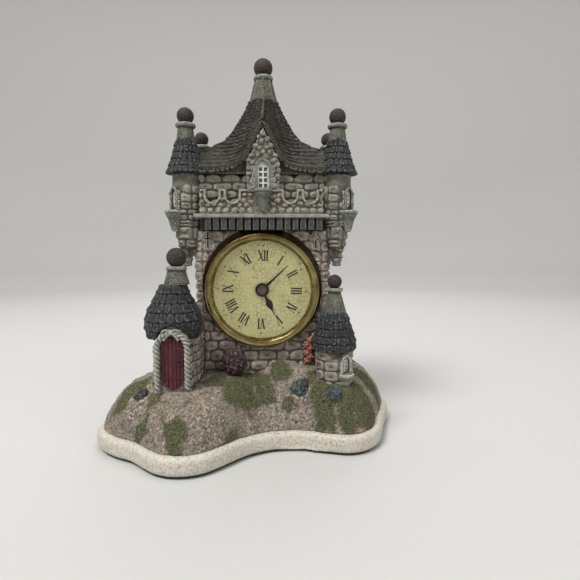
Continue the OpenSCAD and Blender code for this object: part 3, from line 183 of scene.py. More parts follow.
def ramp(tree, value, stops):
    """A colour ramp: stops are (position, colour) with three numbers a colour."""
    node = tree.nodes.new("ShaderNodeValToRGB")
    while len(node.color_ramp.elements) < len(stops):
        node.color_ramp.elements.new(0.5)
    for element, (position, colour) in zip(node.color_ramp.elements, stops):
        element.position = position
        element.color = (*colour, 1)
    tree.links.new(value, node.inputs["Fac"])
    return node.outputs["Color"]


def bump(tree, shader, height, strength, distance=0.0002):
    """Fine relief in a material, with its full height in metres."""
    node = node_of(tree, "Bump", Strength=strength, Distance=distance, Height=height)
    tree.links.new(node.outputs["Normal"], shader.inputs["Normal"])


def copy_of(node, name):
    """A new piece with a CAD node's shape, its triangles merged."""
    clear()
    piece = bpy.data.objects.new(name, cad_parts[node].data.copy())
    bpy.context.collection.objects.link(piece)
    piece.data.name = name
    piece.data.materials.clear()
    all_picked(piece)
    bpy.ops.mesh.remove_doubles(threshold=0.00002)
    bpy.ops.mesh.dissolve_limited(angle_limit=math.radians(2))
    leave()
    return piece


def modify(piece, kind, **settings):
    """Adds a modifier, sets it and applies it."""
    take(piece)
    modifier = piece.modifiers.new(kind.lower(), kind)
    for key, value in settings.items():
        setattr(modifier, key, value)
    if kind == "SUBSURF":
        modifier.render_levels = modifier.levels
    bpy.ops.object.modifier_apply(modifier=modifier.name)


def dress(piece, material, body="castle", replaced=()):
    """Gives a piece its material and its body, and hides the CAD nodes that it stands for."""
    piece.data.materials.clear()
    piece.data.materials.append(material)
    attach(piece, body)
    if replaced:
        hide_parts(*replaced)


felt, tree, shader, place = painted("felt_green", (0.02, 0.045, 0.03), 0.95)
felt_fuzz = noise(tree, place, 1400, 4)
link(felt, ramp(tree, felt_fuzz, ((0.3, (0.006, 0.02, 0.013)), (0.7, (0.03, 0.07, 0.045)))),
     shader.inputs["Base Color"])
shader.inputs["Sheen Weight"].default_value = 0.4
bump(tree, shader, felt_fuzz, 0.6)

pad = copy_of("felt_pad", "felt_sheet")
modify(pad, "BEVEL", width=0.3 * mm, segments=2, limit_method="ANGLE")
dress(pad, felt, replaced=["felt_pad"])


# ---- Plinth ----
# The wavy foot of the casting, glued on the felt. It is smoothed and painted ivory with a fine brown
# speckle.

plinth_paint, tree, shader, place = painted("speckled_ivory", (0.7, 0.66, 0.58), 0.55)
link(plinth_paint, ramp(tree, noise(tree, place, 900, 5, 0.7),
     ((0.36, (0.36, 0.3, 0.23)), (0.46, (0.55, 0.51, 0.43)), (0.62, (0.66, 0.63, 0.56)))),
     shader.inputs["Base Color"])
bump(tree, shader, noise(tree, place, 350, 5, 0.6), 0.25)



def softened(piece, cell, passes):
    """Rounds off a piece's edges: its skin is remade in small cells, then smoothed."""
    modify(piece, "REMESH", mode="VOXEL", voxel_size=cell * mm)
    modify(piece, "SMOOTH", factor=0.5, iterations=passes)


foot = copy_of("plinth", "plinth_cast")
softened(foot, 0.9, 8)
smoothed(foot)
dress(foot, plinth_paint, replaced=["plinth"])


# ---- Hill ----
# A mound of fine grit cast in resin and painted taupe, with patches of green flock brushed over it.

# Each patch of flock: the place of its middle and its radius, in millimetres.
MOSS = ((-25.9, -49.5, 10), (-13, -50.7, 13), (-4.7, -40, 11), (-15, -64, 6.5), (-9, -57, 9),
        (-62, -75.9, 4.5), (-41, -88, 7), (-72.4, -52.5, 9), (-76, -59, 6), (-57, -66, 6),
        (11, -38, 9), (2.7, -50.8, 9), (15, -56, 4), (36, -60, 10), (48, -61, 12), (60, -54, 11),
        (66, -24, 11), (30, -49, 5), (60, 10, 14), (30, 38, 13), (-20, 40, 15), (-66, 12, 12),
        (-60, -20, 10))


def roughen(piece, size, depth, middle=0.5, kind="CLOUDS", group=""):
    """Pushes a piece's skin in and out by a noise of that size and depth in millimetres."""
    texture = bpy.data.textures.new(piece.name + "_relief", kind)
    texture.noise_scale = size * mm
    if kind == "CLOUDS":
        texture.noise_depth = 3
    modify(piece, "DISPLACE", texture=texture, strength=depth * mm, mid_level=middle,
           texture_coords="LOCAL", vertex_group=group)


def ranks(values):
    """Each value's place in the order of all of them, from 0 to 1."""
    order = np.argsort(np.argsort(values, kind="stable"), kind="stable")
    return order / max(1, len(values) - 1)


def stain(piece, blur=2):
    """Keeps in the attribute 'wear' how open each point lies: 0 in a crevice, 1 on an edge."""
    take(piece)
    layer = piece.data.color_attributes.new("wear", "FLOAT_COLOR", "POINT")
    bpy.ops.object.mode_set(mode="VERTEX_PAINT")
    bpy.ops.paint.vertex_color_dirt(blur_strength=1, blur_iterations=blur, clean_angle=math.pi,
                                    dirt_angle=0)
    leave()
    layer = piece.data.color_attributes["wear"]
    found = np.zeros(len(layer.data) * 4)
    layer.data.foreach_get("color", found)
    even = ranks(found[::4] + np.arange(len(layer.data)) * 1e-12)
    layer.data.foreach_set("color", np.repeat(even, 4))


mound = copy_of("hill", "hill_turf")
for x, y, z, wide, tall in ((-66.5, -60, 25.5, 4.6, 4.6), (22.3, -52, 27, 5.7, 4.6),
                            (-48, -64.5, 30, 7.5, 4)):
    take(mound)
    bpy.ops.object.mode_set(mode="EDIT")
    bpy.ops.mesh.primitive_uv_sphere_add(radius=1, location=(x * mm, y * mm, z * mm),
                                         scale=(wide * mm, wide * mm, tall * mm))
    leave()
softened(mound, 0.8, 10)
roughen(mound, 9, 1.6)
roughen(mound, 1.6, 0.9, 0.35)
ragged = random.Random(4)
LOBES, LEVELS = 9, 8
spots = [(x * mm, y * mm, r * mm, [ragged.uniform(0.7, 1.25) for _ in range(LOBES)]) for x, y, r in MOSS]


def mossy(point):
    """How much flock lies at a point of the hill, from 0 to 1."""
    cover = 0
    for x, y, r, lobes in spots:
        dx, dy = point.x - x, point.y - y
        turn = (math.atan2(dy, dx) / math.tau % 1) * LOBES
        here, ahead = lobes[int(turn) % LOBES], lobes[(int(turn) + 1) % LOBES]
        reach = r * (here * (1 - turn % 1) + ahead * (turn % 1))
        cover = max(cover, min(1, 2.2 - 2.2 * math.hypot(dx, dy) / reach))
    return cover


flocked = [mossy(vertex.co) for vertex in mound.data.vertices]
flock = mound.vertex_groups.new(name="flock")
for level in range(1, LEVELS + 1):
    flock.add([i for i, cover in enumerate(flocked) if round(cover * LEVELS) == level], level / LEVELS,
              "REPLACE")
roughen(mound, 0.9, 1.5, 0.3, group="flock")
mound.data.attributes.new("moss", "FLOAT", "POINT").data.foreach_set("value", flocked)
smoothed(mound)
stain(mound)

turf, tree, shader, place = painted("grit_and_flock", (0.3, 0.25, 0.2), 0.85)
grit = noise(tree, place, 800, 6, 0.75)


def kept(tree, name):
    """What an attribute of the mesh holds."""
    node = tree.nodes.new("ShaderNodeAttribute")
    node.attribute_name = name
    return node.outputs["Fac"]


def mixed(tree, share, low, high, mode="MIX"):
    """Mixes two colours by a share; each may be a socket or three numbers."""
    node = tree.nodes.new("ShaderNodeMix")
    node.data_type = "RGBA"
    node.blend_type = mode
    ends = [s for s in node.inputs if s.name in ("A", "B") and s.type == "RGBA"]
    for socket, value in zip([node.inputs[0], *ends], (share, low, high)):
        if isinstance(value, bpy.types.NodeSocket):
            tree.links.new(value, socket)
        elif isinstance(value, (int, float)):
            socket.default_value = value
        else:
            socket.default_value = (*value, 1)
    return [s for s in node.outputs if s.type == "RGBA"][0]


def fade(tree, value, low, high):
    """Maps a value to 0 below low and 1 above high, with soft ends."""
    node = node_of(tree, "MapRange", From_Min=low, From_Max=high, Value=value)
    node.interpolation_type = "SMOOTHSTEP"
    return node.outputs["Result"]


def figure(tree, kind, first, second):
    node = tree.nodes.new("ShaderNodeMath")
    node.operation = kind
    for socket, value in zip(node.inputs, (first, second)):
        if isinstance(value, bpy.types.NodeSocket):
            tree.links.new(value, socket)
        else:
            socket.default_value = value
    return node.outputs[0]


def times(tree, first, second):
    return figure(tree, "MULTIPLY", first, second)


def plus(tree, base, value, share):
    """A base with a share of another value added."""
    return figure(tree, "ADD", base, times(tree, value, share))


soil = ramp(tree, grit, ((0.38, (0.06, 0.043, 0.03)), (0.5, (0.27, 0.215, 0.165)),
                         (0.61, (0.6, 0.52, 0.43))))
soil = mixed(tree, fade(tree, noise(tree, place, 60, 3), 0.42, 0.62), soil,
             mixed(tree, 0.4, soil, (0.25, 0.225, 0.195)))
green = ramp(tree, noise(tree, place, 1300, 4, 0.7),
             ((0.34, (0.016, 0.017, 0.008)), (0.5, (0.08, 0.084, 0.034)), (0.66, (0.23, 0.23, 0.11))))
patchy = plus(tree, kept(tree, "moss"), figure(tree, "SUBTRACT", noise(tree, place, 110, 5, 0.7), 0.5), 3.6)
cover = fade(tree, plus(tree, patchy, figure(tree, "SUBTRACT", grit, 0.5), 2.2), 0.15, 0.65)
crevice = times(tree, fade(tree, kept(tree, "wear"), 0.35, 0.02), 0.75)
link(turf, mixed(tree, crevice, mixed(tree, cover, soil, green), (0.035, 0.027, 0.018)),
     shader.inputs["Base Color"])
grains = node_of(tree, "TexVoronoi", Scale=1100, Vector=place)
bump(tree, shader, plus(tree, grit, grains.outputs["Distance"], -0.9), 0.9, 0.0007)
dress(mound, turf, replaced=["hill"])

# ---- Tower ----
# The square shaft is one casting. Its rubble was carved in rough courses, cast in resin, washed with a
# thin dark paint that stays in the joints, and dry-brushed pale on the stones.

paint = bpy.data.node_groups.new("antique_paint", "ShaderNodeTree")
for name, kind, value in (("Coat", "NodeSocketColor", (0.3, 0.25, 0.2, 1)),
                          ("Wash", "NodeSocketColor", (0.04, 0.03, 0.02, 1)),
                          ("Brush", "NodeSocketColor", (0.6, 0.57, 0.5, 1)),
                          ("Wear", "NodeSocketFloat", 0.6), ("Grain", "NodeSocketFloat", 700.0),
                          ("Brushed", "NodeSocketFloat", 0.7), ("Washed", "NodeSocketFloat", 0.9)):
    paint.interface.new_socket(name, in_out="INPUT", socket_type=kind).default_value = value
for name, kind in (("Color", "NodeSocketColor"), ("Height", "NodeSocketFloat"),
                   ("Dull", "NodeSocketFloat")):
    paint.interface.new_socket(name, in_out="OUTPUT", socket_type=kind)
given = paint.nodes.new("NodeGroupInput").outputs
made = paint.nodes.new("NodeGroupOutput").inputs
place = paint.nodes.new("ShaderNodeTexCoord").outputs["Object"]
pits = noise(paint, place, given["Grain"], 6, 0.72)
coral = node_of(paint, "TexVoronoi", Vector=place, Scale=times(paint, given["Grain"], 1.1))
mottle = ramp(paint, noise(paint, place, 160), ((0.3, (0.62, 0.62, 0.6)), (0.7, (1.15, 1.1, 1.08))))
centred = figure(paint, "SUBTRACT", pits, 0.5)
coat = mixed(paint, 1.0, given["Coat"], mottle, "MULTIPLY")
open_skin = fade(paint, plus(paint, given["Wear"], centred, 1.3), 0.0, 0.48)
soaked = times(paint, figure(paint, "SUBTRACT", 1.0, open_skin), given["Washed"])
coat = mixed(paint, soaked, coat, given["Wash"])
proud = fade(paint, plus(paint, given["Wear"], centred, 2.6), 0.62, 1.12)
paint.links.new(mixed(paint, times(paint, proud, given["Brushed"]), coat, given["Brush"]), made["Color"])
paint.links.new(plus(paint, pits, coral.outputs["Distance"], 0.5), made["Height"])
paint.links.new(plus(paint, 0.55, pits, 0.4), made["Dull"])


def resin(name, coat, wash=(0.035, 0.028, 0.02), brush=(0.6, 0.58, 0.52), grain=700, brushed=0.7,
          washed=0.9, relief=0.5, even=None):
    """Painted resin: one coat, or several that the attribute 'tone' chooses from, then a dark wash in
    the crevices and a pale dry brush on the edges, or both by one even amount of wear."""
    material, tree, shader, place = painted(name, coat if isinstance(coat[0], float) else coat[0])
    node = tree.nodes.new("ShaderNodeGroup")
    node.node_tree = paint
    for key, value in (("Wash", (*wash, 1)), ("Brush", (*brush, 1)), ("Grain", grain), ("Brushed", brushed),
                       ("Washed", washed)):
        node.inputs[key].default_value = value
    if isinstance(coat[0], float):
        node.inputs["Coat"].default_value = (*coat, 1)
    else:
        stops = [((i + 0.5) / len(coat), colour) for i, colour in enumerate(coat)]
        link(material, ramp(tree, kept(tree, "tone"), stops), node.inputs["Coat"])
    if even is None:
        link(material, kept(tree, "wear"), node.inputs["Wear"])
    else:
        node.inputs["Wear"].default_value = even
    link(material, node.outputs["Color"], shader.inputs["Base Color"])
    link(material, node.outputs["Dull"], shader.inputs["Roughness"])
    bump(tree, shader, node.outputs["Height"], relief, 0.0004)
    return material


def cut_across(axis, at):
    """Cuts what is selected of a mesh along a plane across X, Y or Z."""
    point, normal = [0, 0, 0], [0, 0, 0]
    point[axis], normal[axis] = at * mm, 1
    bpy.ops.mesh.bisect(plane_co=point, plane_no=normal)


def sliced(piece, axis, places):
    """Cuts a whole mesh along planes across X, Y or Z."""
    all_picked(piece)
    for at in places:
        whole()
        cut_across(axis, at)
    leave()


def toned(piece, test, seed):
    """Gives each face that passes the test a random tone, and the others none."""
    dice = random.Random(seed)
    tones = [dice.random() if test(face) else -1.0 for face in piece.data.polygons]
    piece.data.attributes.new("tone", "FLOAT", "FACE").data.foreach_set("value", tones)


def raised(piece, seed, joint=0.3, rise=0.8, crown=0.6, jitter=0.5, coarse=0.0, edge=0.35):
    """Raises each toned face as a stone: moved a little, inset by the joint, lifted and crowned."""
    tones = [tone.value for tone in piece.data.attributes["tone"].data]
    pick(piece, "FACE", lambda f: tones[f.index] >= 0)
    bpy.ops.transform.vertex_random(offset=jitter * mm, uniform=0.2, normal=0, seed=seed)
    for thickness, depth in ((joint, 0), (edge, rise), (crown, 0.35 * rise)):
        bpy.ops.mesh.inset(thickness=thickness * mm, depth=depth * mm, use_individual=True,
                           use_even_offset=False)
    leave()
    pick(piece, "FACE", lambda f: len(f.vertices) > 20)
    bpy.ops.mesh.quads_convert_to_tris()
    leave()
    modify(piece, "SUBSURF", levels=1)
    if coarse:
        roughen(piece, 1.1, coarse)
    smoothed(piece)


def named(name):
    """The piece just added, given its name."""
    piece = bpy.context.object
    piece.name = piece.data.name = name
    return piece


def settle():
    """Puts the place, turn and size of what is selected into its mesh."""
    bpy.ops.object.transform_apply(location=True, rotation=True, scale=True)


def climb(piece, edge):
    """How far an edge rises."""
    low, high = (piece.data.vertices[i].co.z for i in edge.vertices)
    return abs(low - high)


def block(name, low, high, corner=0.0):
    """A box between two corners in millimetres, its upright edges rounded."""
    centre = [(a + b) / 2 * mm for a, b in zip(low, high)]
    bpy.ops.mesh.primitive_cube_add(size=1, location=centre)
    piece = named(name)
    piece.scale = [(b - a) * mm for a, b in zip(low, high)]
    settle()
    if corner:
        pick(piece, "EDGE", lambda e: climb(piece, e) > mm)
        bpy.ops.mesh.bevel(offset=corner * mm, segments=2)
        leave()
    return piece


def ordered(piece):
    """Sorts a mesh's points by their places and the rest by their corners, so that each run makes the
    same stones."""
    shape = bmesh.new()
    shape.from_mesh(piece.data)
    count = len(shape.verts)
    slant = Vector((1, 0.7549, 0.5698))
    shape.verts.sort(key=lambda corner: corner.co @ slant)
    shape.verts.index_update()

    def rank(part):
        first = sorted(corner.index for corner in part.verts)[:3]
        return float(sum(index * count ** (2 - i) for i, index in enumerate(first)))

    shape.edges.sort(key=rank)
    shape.faces.sort(key=rank)
    shape.to_mesh(piece.data)
    shape.free()
    return piece


def carve(piece, cutter):
    """Cuts one piece out of another, and deletes the cutter."""
    modify(piece, "BOOLEAN", object=cutter, operation="DIFFERENCE", solver="EXACT")
    bpy.data.objects.remove(cutter, do_unlink=True)
    ordered(piece)


def rod(name, centre, radius, length, vertices=96):
    """A cylinder in millimetres that lies along Y."""
    bpy.ops.mesh.primitive_cylinder_add(vertices=vertices, radius=radius * mm, depth=length * mm,
                                        location=[c * mm for c in centre], rotation=(math.pi / 2, 0, 0))
    piece = named(name)
    settle()
    return piece


STONE_TONES = ((0.3, 0.25, 0.21), (0.36, 0.31, 0.26), (0.24, 0.215, 0.18), (0.31, 0.24, 0.21),
               (0.27, 0.24, 0.195), (0.37, 0.31, 0.275))
lower_stone = resin("rubble_taupe", STONE_TONES, wash=(0.05, 0.04, 0.03), brush=(0.58, 0.54, 0.48),
                    grain=650, brushed=0.75, washed=0.85, relief=0.6)
STONE_RUN = 10.6
JOINTS = (0.3, 0.72, 0.05, 0.5, 0.88, 0.22, 0.64, 0.4, 0.95, 0.12)


def joints(run, row):
    """Places of a course's upright joints along a wall, as they are cut in the casting."""
    count = max(1, round(run / STONE_RUN))
    shift = [0.4 * (JOINTS[(3 * i + 7 * row) % len(JOINTS)] - 0.5) for i in range(count)]
    return [run / count * (i + 0.25 + 0.5 * (row % 2) + shift[i]) - run / 2 for i in range(count)]


def coursed(name, width, depth, corner, low, high, courses):
    """A rubble block: its core sunk, level beds, then each course's own joints, ready for stones to be
    raised.
    """
    sunk = 0.6
    piece = block(name, (-width / 2 + sunk, -depth / 2 + sunk, low),
                  (width / 2 - sunk, depth / 2 - sunk, high), corner)
    rise = (high - low) / courses
    beds = [low + rise * row - 0.45 for row in range(1, courses)]
    sliced(piece, 2, beds)
    edges = [low] + beds + [high]
    fold = (width / 2 - sunk - corner * 0.293) * mm
    pick(piece, "EDGE", lambda e: climb(piece, e) > mm
         and all(abs(abs(piece.data.vertices[i].co.x) - fold) < 0.1 * mm for i in e.vertices))
    bpy.ops.mesh.dissolve_edges(use_verts=False, use_face_split=False)
    leave()
    take(piece)
    bpy.context.scene.tool_settings.mesh_select_mode = (False, False, True)
    bpy.ops.object.mode_set(mode="EDIT")
    for row in range(courses):
        middle = (edges[row] + edges[row + 1]) / 2 * mm
        for axis, run in ((0, width - 2 * corner), (1, depth - 2 * corner)):
            for side in (-1, 1):
                for place in joints(run, row):
                    bpy.ops.mesh.select_all(action="DESELECT")
                    shape = bmesh.from_edit_mesh(piece.data)
                    for face in shape.faces:
                        if (abs(face.calc_center_bounds().z - middle) < rise * 0.3 * mm
                                and face.normal[1 - axis] * side > 0.9):
                            face.select_set(True)
                    cut_across(axis, (-side if axis == 0 else side) * place)
    leave()
    return piece


GROUND = 31.5
DIAL_Z, RECESS_Z, RECESS_R = 88, 89.7, 36.9
shaft = coursed("shaft_rubble", 84, 62, 5, GROUND, 124.5, 15)
carve(shaft, rod("recess_cutter", (0, -34.5, RECESS_Z), RECESS_R, 13))
carve(shaft, rod("bore_cutter", (0, 0, DIAL_Z), 30.4, 80))
toned(shaft, lambda face: max(abs(face.normal.x), abs(face.normal.y)) > 0.6
      and abs(face.center.y) > 0.0295 or abs(face.center.x) > 0.038, 12)
raised(shaft, 13, joint=0.3, rise=0.8, crown=1.0, jitter=1.0, coarse=0.75)
stain(shaft)
dress(shaft, lower_stone, replaced=["tower_shaft"])
# The faces of the counterbore round the bezel get a dark brown: painted shade of the recess.
recess_shade_paint = resin("recess_painted_shade", (0.05, 0.032, 0.02), brush=(0.16, 0.1, 0.06), brushed=0.4, even=0.55)
shaft.data.materials.append(recess_shade_paint)
pick(shaft, "FACE", lambda f: math.hypot(f.center.x, f.center.z - RECESS_Z * mm) < (RECESS_R + 0.08) * mm
     and f.center.y < -0.025)
shaft.active_material_index = 1
bpy.ops.object.material_slot_assign()
leave()


# ---- String course ----
# A ledge on a row of square corbels, cast with the tower: the corbels painted near-black as the shade under
# the ledge, the ledge's lip rubbed pale.

def weathered(piece, cell, passes, size, depth):
    """Softens a piece's edges and pits its skin, as cast from a hand carving."""
    softened(piece, cell, passes)
    roughen(piece, size, depth)
    smoothed(piece)
    return piece


def worn_copy(node, name, cell, passes, size=1.2, depth=0.35):
    return weathered(copy_of(node, name), cell, passes, size, depth)


def graded(piece, tone):
    """Sets the attribute 'tone' of each point from its place in millimetres."""
    values = [tone(*(vertex.co / mm)) for vertex in piece.data.vertices]
    piece.data.attributes.new("tone", "FLOAT", "POINT").data.foreach_set("value", values)


ledge_paint_corbel_shade = resin("ledge_grey_corbel_shade", ((0.05, 0.05, 0.042), (0.3, 0.305, 0.265)), wash=(0.015, 0.014, 0.012),
                     brush=(0.3, 0.3, 0.27), brushed=0.3)
ledge = worn_copy("string_course", "corbel_table", 0.36, 2, depth=0.2)
modify(ledge, "DECIMATE", ratio=0.6)
# Below the ledge the tone picks the near-black coat: painted shade on the corbels.
graded(ledge, lambda x, y, z: 0.9 if z > 131.6 else 0.15)
stain(ledge)
dress(ledge, ledge_paint_corbel_shade, replaced=["string_course"])


# ---- Upper storey ----
# Rubble in level courses, carved smaller and painted greyer than the tower's, up to the eaves.

STOREY_TONES = ((0.26, 0.235, 0.19), (0.19, 0.175, 0.14), (0.31, 0.285, 0.24), (0.22, 0.21, 0.175),
                (0.28, 0.235, 0.2))
storey_stone = resin("storey_grey", STOREY_TONES, wash=(0.035, 0.03, 0.022), brush=(0.5, 0.47, 0.41),
                     grain=700, relief=0.6)
storey = coursed("storey_rubble", 88, 64, 5, 134, 158.5, 5)
toned(storey, lambda face: abs(face.normal.z) < 0.7, 19)
raised(storey, 20, joint=0.25, rise=0.8, crown=0.8, jitter=0.7, coarse=0.65)
stain(storey)
dress(storey, storey_stone, replaced=["upper_storey"])


# ---- Battlement ----
# A low wall in front of the storey with U-shaped notches. A round bead runs along its edge and down
# round each notch, and pebbles are set in the wall between them.

def lumps(piece, spots):
    """Adds flattened pebbles to a mesh: each is a place, three half sizes and three turns."""
    take(piece)
    bpy.ops.object.mode_set(mode="EDIT")
    for place, size, turn in spots:
        bpy.ops.mesh.primitive_ico_sphere_add(subdivisions=2, radius=1, location=[c * mm for c in place],
                                              rotation=turn, scale=[c * mm for c in size])
    leave()


def scattered(low, high, step, seed, free):
    """Places in a rectangle at least a step apart, where the test leaves them free."""
    dice = random.Random(seed)
    found = []
    for _ in range(4000):
        u, v = dice.uniform(low[0], high[0]), dice.uniform(low[1], high[1])
        if free(u, v) and all(math.hypot(u - a, v - b) > step for a, b in found):
            found.append((u, v))
    return found


NOTCHES, NOTCH_R = (17.2, 29.3), 4.4


def off_notch(x, z):
    """Whether a pebble at this place stays clear of the notches."""
    return all(abs(abs(x) - notch) > NOTCH_R + 1.5 or z < 139.4 for notch in NOTCHES)


def pebbles(found, size, seed, at):
    """Lumps at the places found, with sizes that vary; at() gives the place in space."""
    dice = random.Random(seed)
    return [(at(u, v), [size[i] * dice.uniform(0.75, 1.25) for i in range(3)],
             (dice.uniform(-0.3, 0.3), dice.uniform(-0.5, 0.5), dice.uniform(-0.2, 0.2)))
            for u, v in found]


parapet = copy_of("battlement", "battlement_bead")
WINDOW_X = 1
PANEL = (-35.5, 138.9), (35.5, 145.4)
front = scattered(*PANEL, 3.3, 21, lambda x, z: off_notch(x, z) and abs(x - WINDOW_X) > 5.5)
back = scattered(*PANEL, 3.3, 22, off_notch)
row = [(-35 + 4.7 * i, 136.1) for i in range(16) if abs(-35 + 4.7 * i - WINDOW_X) > 4]
lumps(parapet, pebbles(front, (1.9, 0.9, 1.3), 23, lambda x, z: (x, -36.1, z))
      + pebbles(back, (1.9, 0.9, 1.3), 24, lambda x, z: (x, 36.1, z))
      + pebbles(row, (2.4, 1.0, 1.7), 25, lambda x, z: (x, -36.2, z))
      + pebbles(row, (2.4, 1.0, 1.7), 26, lambda x, z: (-x, 36.2, z)))
weathered(parapet, 0.42, 2, 1.0, 0.45)


def bead_tone(x, y, z):
    """Pale on the bead and in the row of stones above the ledge, greyer between."""
    edge = min(abs((math.hypot(abs(x) - notch, z - 144.7) if z < 145 else abs(abs(x) - notch)) - NOTCH_R)
               for notch in NOTCHES)
    return 0.9 if z > 146.9 or edge < 0.9 else 0.55 if z < 138 else 0.2


graded(parapet, bead_tone)
stain(parapet)
dress(parapet, resin("battlement_grey", ((0.2, 0.18, 0.145), (0.28, 0.26, 0.215), (0.2, 0.21, 0.175)),
                     wash=(0.035, 0.03, 0.023), brush=(0.47, 0.46, 0.4), grain=650, relief=0.6),
      replaced=["battlement"])


# ---- Gable ----
# A dormer wall of rounded lumps with a pointed window: a white lattice in a grey-green frame, over a
# sill and a half-round bowl. White blocks stand along the frame.

gable = copy_of("gable_wall", "gable_lumps")
gable_spots = scattered((-8.3, 149), (10.3, 183), 2.9, 31, lambda x, z: (
    (abs(x - WINDOW_X) > 5.3 or z > 167.5) and abs(x - WINDOW_X) < min(9.0, 0.48 * (184 - z))))
lumps(gable, pebbles(gable_spots, (1.9, 1.0, 1.5), 32, lambda x, z: (x, -37.0, z)))
weathered(gable, 0.4, 2, 1.0, 0.4)
stain(gable)
pale_stone = resin("pale_stone", (0.17, 0.165, 0.13), wash=(0.03, 0.027, 0.02), brush=(0.4, 0.4, 0.34),
                   grain=650, relief=0.6)
dress(gable, pale_stone, replaced=["gable_wall"])

frame_paint = resin("frame_grey_green", (0.19, 0.21, 0.18), wash=(0.035, 0.035, 0.03),
                    brush=(0.44, 0.48, 0.42), grain=800, relief=0.4)
quoin_paint = resin("quoin_white", (0.42, 0.42, 0.37), wash=(0.08, 0.075, 0.055),
                    brush=(0.74, 0.74, 0.68), relief=0.4)
lattice_paint = resin("lattice_white", (0.72, 0.72, 0.67), wash=(0.2, 0.19, 0.15),
                      brush=(0.9, 0.9, 0.86), grain=900, relief=0.3, even=0.6)
window = worn_copy("gable_window_frame", "gable_frame", 0.32, 3, depth=0.2)
stain(window)
dress(window, frame_paint, replaced=["gable_window_frame"])


def bare(name):
    """A new piece with nothing in its mesh yet, in edit mode."""
    clear()
    bpy.ops.mesh.primitive_cube_add(size=0.001)
    piece = named(name)
    bpy.ops.object.mode_set(mode="EDIT")
    bpy.ops.mesh.delete(type="VERT")
    return piece


def blocks(name, spots):
    """Small worn blocks, each a middle, three sizes and a turn about Z, as one mesh."""
    piece = bare(name)
    for place, size, turn in spots:
        bpy.ops.mesh.primitive_cube_add(size=1, location=[c * mm for c in place], rotation=(0, 0, turn),
                                        scale=[c * mm for c in size])
    leave()
    modify(piece, "BEVEL", width=0.35 * mm, segments=2)
    modify(piece, "SUBSURF", levels=1)
    roughen(piece, 0.8, 0.25)
    take(piece)
    settle()
    bpy.ops.object.shade_smooth()
    stain(piece)
    return piece


def quoins(x, y, z, half, height, turn=0.0, radius=0.0):
    """Four blocks on each side of a window, long and short by turns, on a flat at a radius from (x, y)."""
    count = 4
    spots = []
    for i in range(count):
        long = 1.9 if i % 2 else 1.3
        for side in (-1, 1):
            u, v = side * (half + long / 2), -radius
            spots.append(((x + u * math.cos(turn) - v * math.sin(turn),
                           y + u * math.sin(turn) + v * math.cos(turn),
                           z + height * (i + 0.5) / count), (long, 1.3, height / count * 0.82), turn))
    return spots


def paint_node(node, material):
    """Paints a CAD piece that is shown as it is."""
    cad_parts[node].data.materials.clear()
    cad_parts[node].data.materials.append(material)


gable_quoins = blocks("gable_quoins", quoins(1, -37.3, 148.8, 5.1, 13.5))
dress(gable_quoins, quoin_paint)
paint_node("gable_lattice", lattice_paint)


# ---- Main roof ----
# Thick hand-cut slates in courses that sweep down from the spire and sag along the eaves, cast in one
# piece. The hips run out to the corner turrets. A dark verge frames the gable.

# The hips' height and sideways bow, and the eaves' rise at the front, at even steps from spire to corner.
HIP_HEIGHT = (1, 1, 0.845, 0.61, 0.465, 0.38, 0.345, 0.335, 0.345)
HIP_BOW = (0, 0.2, 0.36, 0.5, 0.62, 0.73, 0.83, 0.92, 1)
EAVE_RISE = (0.3, 0.3, 0.26, 0.16, 0.1, 0.085, 0.08, 0.08, 0.08)
EAVE_Z, ROOF_H, FAR_X, FAR_Y, SPIRE_R = 158.5, 50.5, 52, 36.5, 9.6
CORNER_X, CORNER_Y = 46.3, 27
COURSES = 17
COURSE_FALL = 0.2


def along(table, share):
    return float(np.interp(share * (len(table) - 1), range(len(table)), table))


def roof_height(x, y, cut=True):
    """Height of the roof's skin above the eaves, cut by the gable's verge or as if it ran on."""
    out, aside = abs(x) / CORNER_X, abs(x - WINDOW_X)
    hip_y = CORNER_Y * along(HIP_BOW, out)
    if abs(y) > hip_y:
        start = max(hip_y, math.sqrt(max(0, SPIRE_R ** 2 - x * x)))
        t = max(0, min(1, (abs(y) - start) / (FAR_Y - start)))
        low = max(31.5 - 2.058 * aside if cut else 0, 26 * along(EAVE_RISE, out)) if y < 0 else 2
        fold = min(1, aside / 19.2) if y < 0 else 1
        top = ROOF_H * along(HIP_HEIGHT, out)
        return low + (top - low) * (1 - t) ** (1 + 0.3 * fold)
    share = float(np.interp(abs(y) / CORNER_Y, HIP_BOW, [i / 8 for i in range(9)]))
    start = max(CORNER_X * share, math.sqrt(max(0, SPIRE_R ** 2 - y * y)))
    t = max(0, min(1, (abs(x) - start) / (FAR_X - start)))
    return 2 + (ROOF_H * along(HIP_HEIGHT, share) - 2) * (1 - t) ** 1.9


def eave_point(turn):
    """A point of the eaves' rectangle at a share of its length, from the middle of the right side."""
    run = turn % 1 * 4 * (FAR_X + FAR_Y)
    for (x, y), (dx, dy), length in (
            ((FAR_X, 0), (0, 1), FAR_Y), ((FAR_X, FAR_Y), (-1, 0), 2 * FAR_X),
            ((-FAR_X, FAR_Y), (0, -1), 2 * FAR_Y), ((-FAR_X, -FAR_Y), (1, 0), 2 * FAR_X),
            ((FAR_X, -FAR_Y), (0, 1), FAR_Y)):
        if run <= length:
            return x + dx * run, y + dy * run
        run -= length
    return FAR_X, 0


